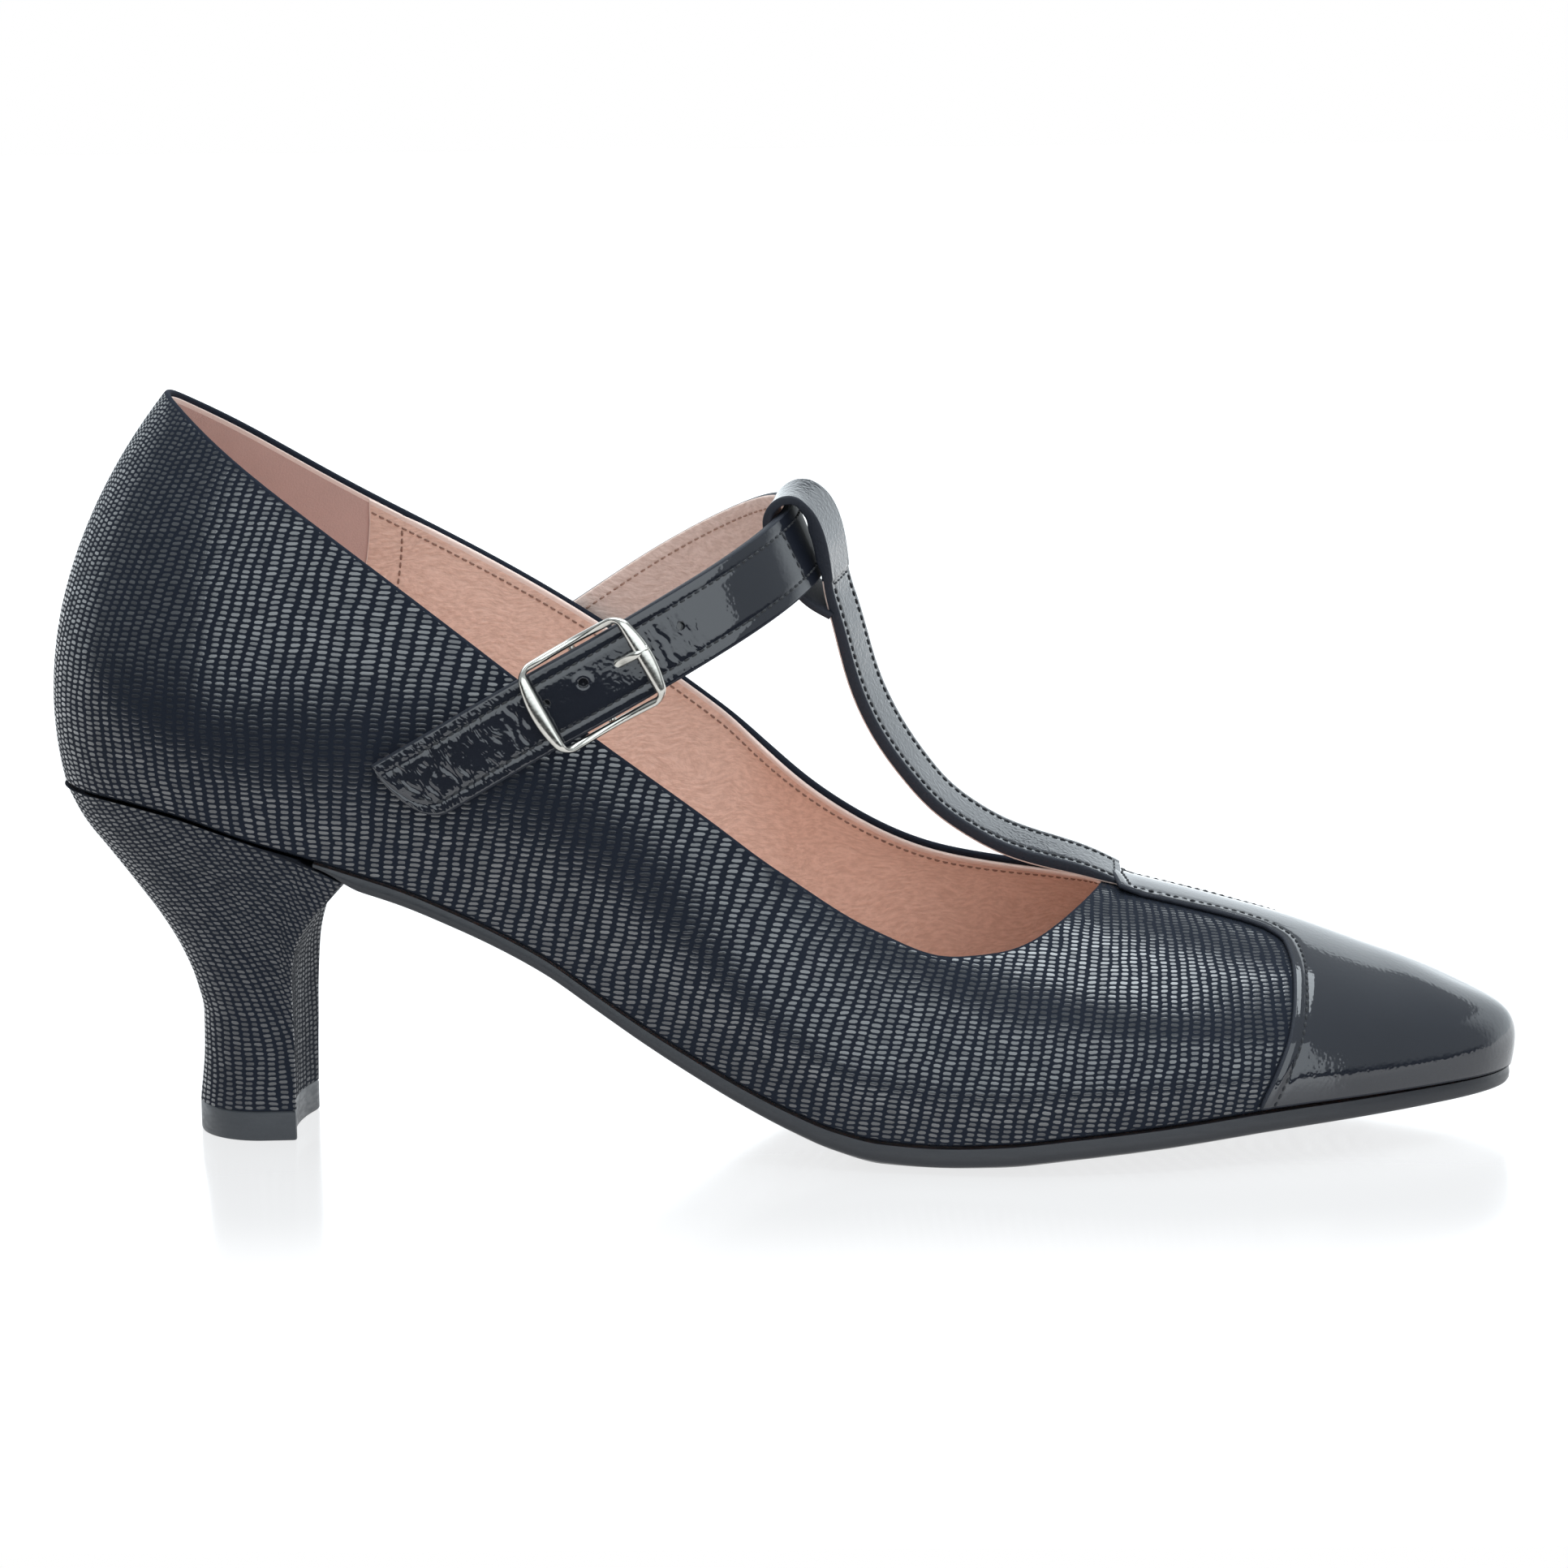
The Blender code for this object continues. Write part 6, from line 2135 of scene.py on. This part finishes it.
class PUMP_OT_stage(bpy.types.Operator):
    """Pale floor, soft studio light and the camera"""

    bl_idname = "pump.stage"
    bl_label = "Stage"

    # Floor: front edge, reach and where its glow rises towards the camera, metres; the dimmer glow round and
    # behind the shoe is painted shade
    FLOOR_FRONT = -0.22
    FLOOR_REACH = 4.0
    SHADE_GLOW_DEPTH = (-0.055, -0.105)
    # Background: eased steps in the direction of sight
    SCREEN_DEPTH = (-0.15, 0.35)
    SCREEN_FADE = 0.06
    ROOM_FADE = 0.12
    SENSOR = 36.0
    NEAREST = 0.05
    # Lights: place, aim and size, metres
    TOP_LIGHT = ((0.0, 0.1, 1.15), (0.0, 0.0, 0.05), (1.4, 0.9))
    FRONT_LIGHT = ((0.42, -1.1, 0.61), (0.42, 0.0, 0.46), (2.16, 1.1))

    def lamp(self, name, place, aim, size, power, colour):
        """Soft rectangular light."""
        data = bpy.data.lights.new(name, "AREA")
        data.shape = "RECTANGLE"
        data.size = size[0]
        data.size_y = size[1]
        data.energy = power
        data.color = colour
        item = bpy.data.objects.new(name, data)
        bpy.context.scene.collection.objects.link(item)
        item.location = place
        item.rotation_mode = "QUATERNION"
        item.rotation_quaternion = (Vector(aim) - Vector(place)).to_track_quat("-Z", "Y")
        item.visible_camera = False

    def execute(self, context):
        _, looks, stage = settings(context)
        scene = context.scene
        scene.view_settings.view_transform = "Standard"
        mesh = bpy.data.meshes.new("floor")
        near = self.FLOOR_FRONT
        far = self.FLOOR_REACH
        corners = [(-far, near, 0.0), (far, near, 0.0), (far, far, 0.0), (-far, far, 0.0)]
        mesh.from_pydata(corners, [], [(0, 1, 2, 3)])
        floor = bpy.data.objects.new("floor", mesh)
        scene.collection.objects.link(floor)
        finish = Finish("lit_floor")
        haze = finish.noise(finish.place(), scale=3.0)
        depth = finish.axis(finish.place(), 1)
        # Painted shade: the floor's glow is dimmer round and behind the shoe than in the strip in front of
        # it
        mesh.materials.append(finish.set(
            Base_Color=finish.uneven(haze, looks.floor, 0.10, 0.12),
            Roughness=0.14,
            Specular_IOR_Level=0.4,
            Emission_Color=finish.uneven(haze, looks.floor, 1.0, 1.02),
            Emission_Strength=finish.step(depth, *self.SHADE_GLOW_DEPTH, stage.shaded_floor_glow, stage.front_glow),
        ))
        self.surround(scene, stage)
        self.lamp("top_light", *self.TOP_LIGHT, stage.top_power, stage.tint)
        self.lamp("front_light", *self.FRONT_LIGHT, stage.front_power, stage.tint)
        self.camera(scene, stage)
        return {"FINISHED"}

    def surround(self, scene, stage):
        """White studio: bright to the eye, dimmer as a source of light, darkest in front."""
        world = bpy.data.worlds.new("studio")
        world.use_nodes = True
        scene.world = world
        nodes = Nodes(world.node_tree)
        nodes.tree.nodes.clear()
        where = nodes.node("ShaderNodeTexCoord")
        height = nodes.axis(where, 2)
        edge = math.sin(stage.screen_top)
        depth = nodes.step(nodes.axis(where, 1), *self.SCREEN_DEPTH, stage.front, stage.behind)
        screen = nodes.math("MULTIPLY", depth, nodes.step(height, edge, edge + self.SCREEN_FADE, 1.0, 0.0))
        climb = nodes.step(height, 0.0, self.ROOM_FADE, 0.0, stage.above)
        level = nodes.math("MAXIMUM", screen, climb)
        light = nodes.node("ShaderNodeBackground", 0, None, Color=tuple(stage.tint), Strength=level)
        white = nodes.node("ShaderNodeBackground", 0, None, Color=(1.0, 1.0, 1.0), Strength=1.0)
        seen = nodes.node("ShaderNodeLightPath")
        mix = nodes.node("ShaderNodeMixShader", 0, None, i0=seen, i1=light, i2=white)
        nodes.put(nodes.tree.nodes.new("ShaderNodeOutputWorld").inputs["Surface"], mix)

    def camera(self, scene, stage):
        """Camera at the photo's angle to the shoe, for a square picture."""
        a = stage.azimuth
        e = stage.elevation
        back = Vector((math.sin(a) * math.cos(e), -math.cos(a) * math.cos(e), math.sin(e)))
        right = Vector((math.cos(a), math.sin(a), 0.0))
        up = back.cross(right)
        turned_right = right * math.cos(stage.roll) - up * math.sin(stage.roll)
        turned_up = right * math.sin(stage.roll) + up * math.cos(stage.roll)
        data = bpy.data.cameras.new("camera")
        data.sensor_width = self.SENSOR
        data.lens = stage.lens
        data.clip_start = self.NEAREST
        item = bpy.data.objects.new("camera", data)
        scene.collection.objects.link(item)
        place = Vector((0.0, 0.0, stage.target)) + back * stage.distance
        basis = Matrix((turned_right, turned_up, back)).transposed().to_4x4()
        item.matrix_world = Matrix.Translation(place) @ basis
        scene.camera = item


STEPS = (
    PUMP_OT_upper, PUMP_OT_lining, PUMP_OT_insole, PUMP_OT_outsole, PUMP_OT_heel,
    PUMP_OT_toe_cap, PUMP_OT_straps, PUMP_OT_buckle, PUMP_OT_stage,
)


class PUMP_PT_panel(bpy.types.Panel):
    """Lists the pump's pieces"""

    bl_idname = "PUMP_PT_panel"
    bl_label = "Mary Jane Pump"
    bl_space_type = "VIEW_3D"
    bl_region_type = "UI"
    bl_category = "Pump"

    def draw(self, context):
        for step in STEPS:
            self.layout.operator(step.bl_idname)
        for group in settings(context):
            for name in group.__annotations__:
                self.layout.prop(group, name)


CLASSES = (PumpSizes, PumpLooks, PumpStage, *STEPS, PUMP_PT_panel)


def register():
    """Add the classes and their settings."""
    for item in CLASSES:
        bpy.utils.register_class(item)
    bpy.types.Scene.pump_sizes = bpy.props.PointerProperty(type=PumpSizes)
    bpy.types.Scene.pump_looks = bpy.props.PointerProperty(type=PumpLooks)
    bpy.types.Scene.pump_stage = bpy.props.PointerProperty(type=PumpStage)


def unregister():
    """Take the settings and classes away."""
    del bpy.types.Scene.pump_sizes
    del bpy.types.Scene.pump_looks
    del bpy.types.Scene.pump_stage
    for item in reversed(CLASSES):
        bpy.utils.unregister_class(item)


def main():
    """Make every piece and the stage."""
    register()
    bpy.ops.pump.upper()
    bpy.ops.pump.lining()
    bpy.ops.pump.insole()
    bpy.ops.pump.outsole()
    bpy.ops.pump.heel()
    bpy.ops.pump.toe_cap()
    bpy.ops.pump.straps()
    bpy.ops.pump.buckle()
    bpy.ops.pump.stage()


if __name__ == "__main__":
    main()
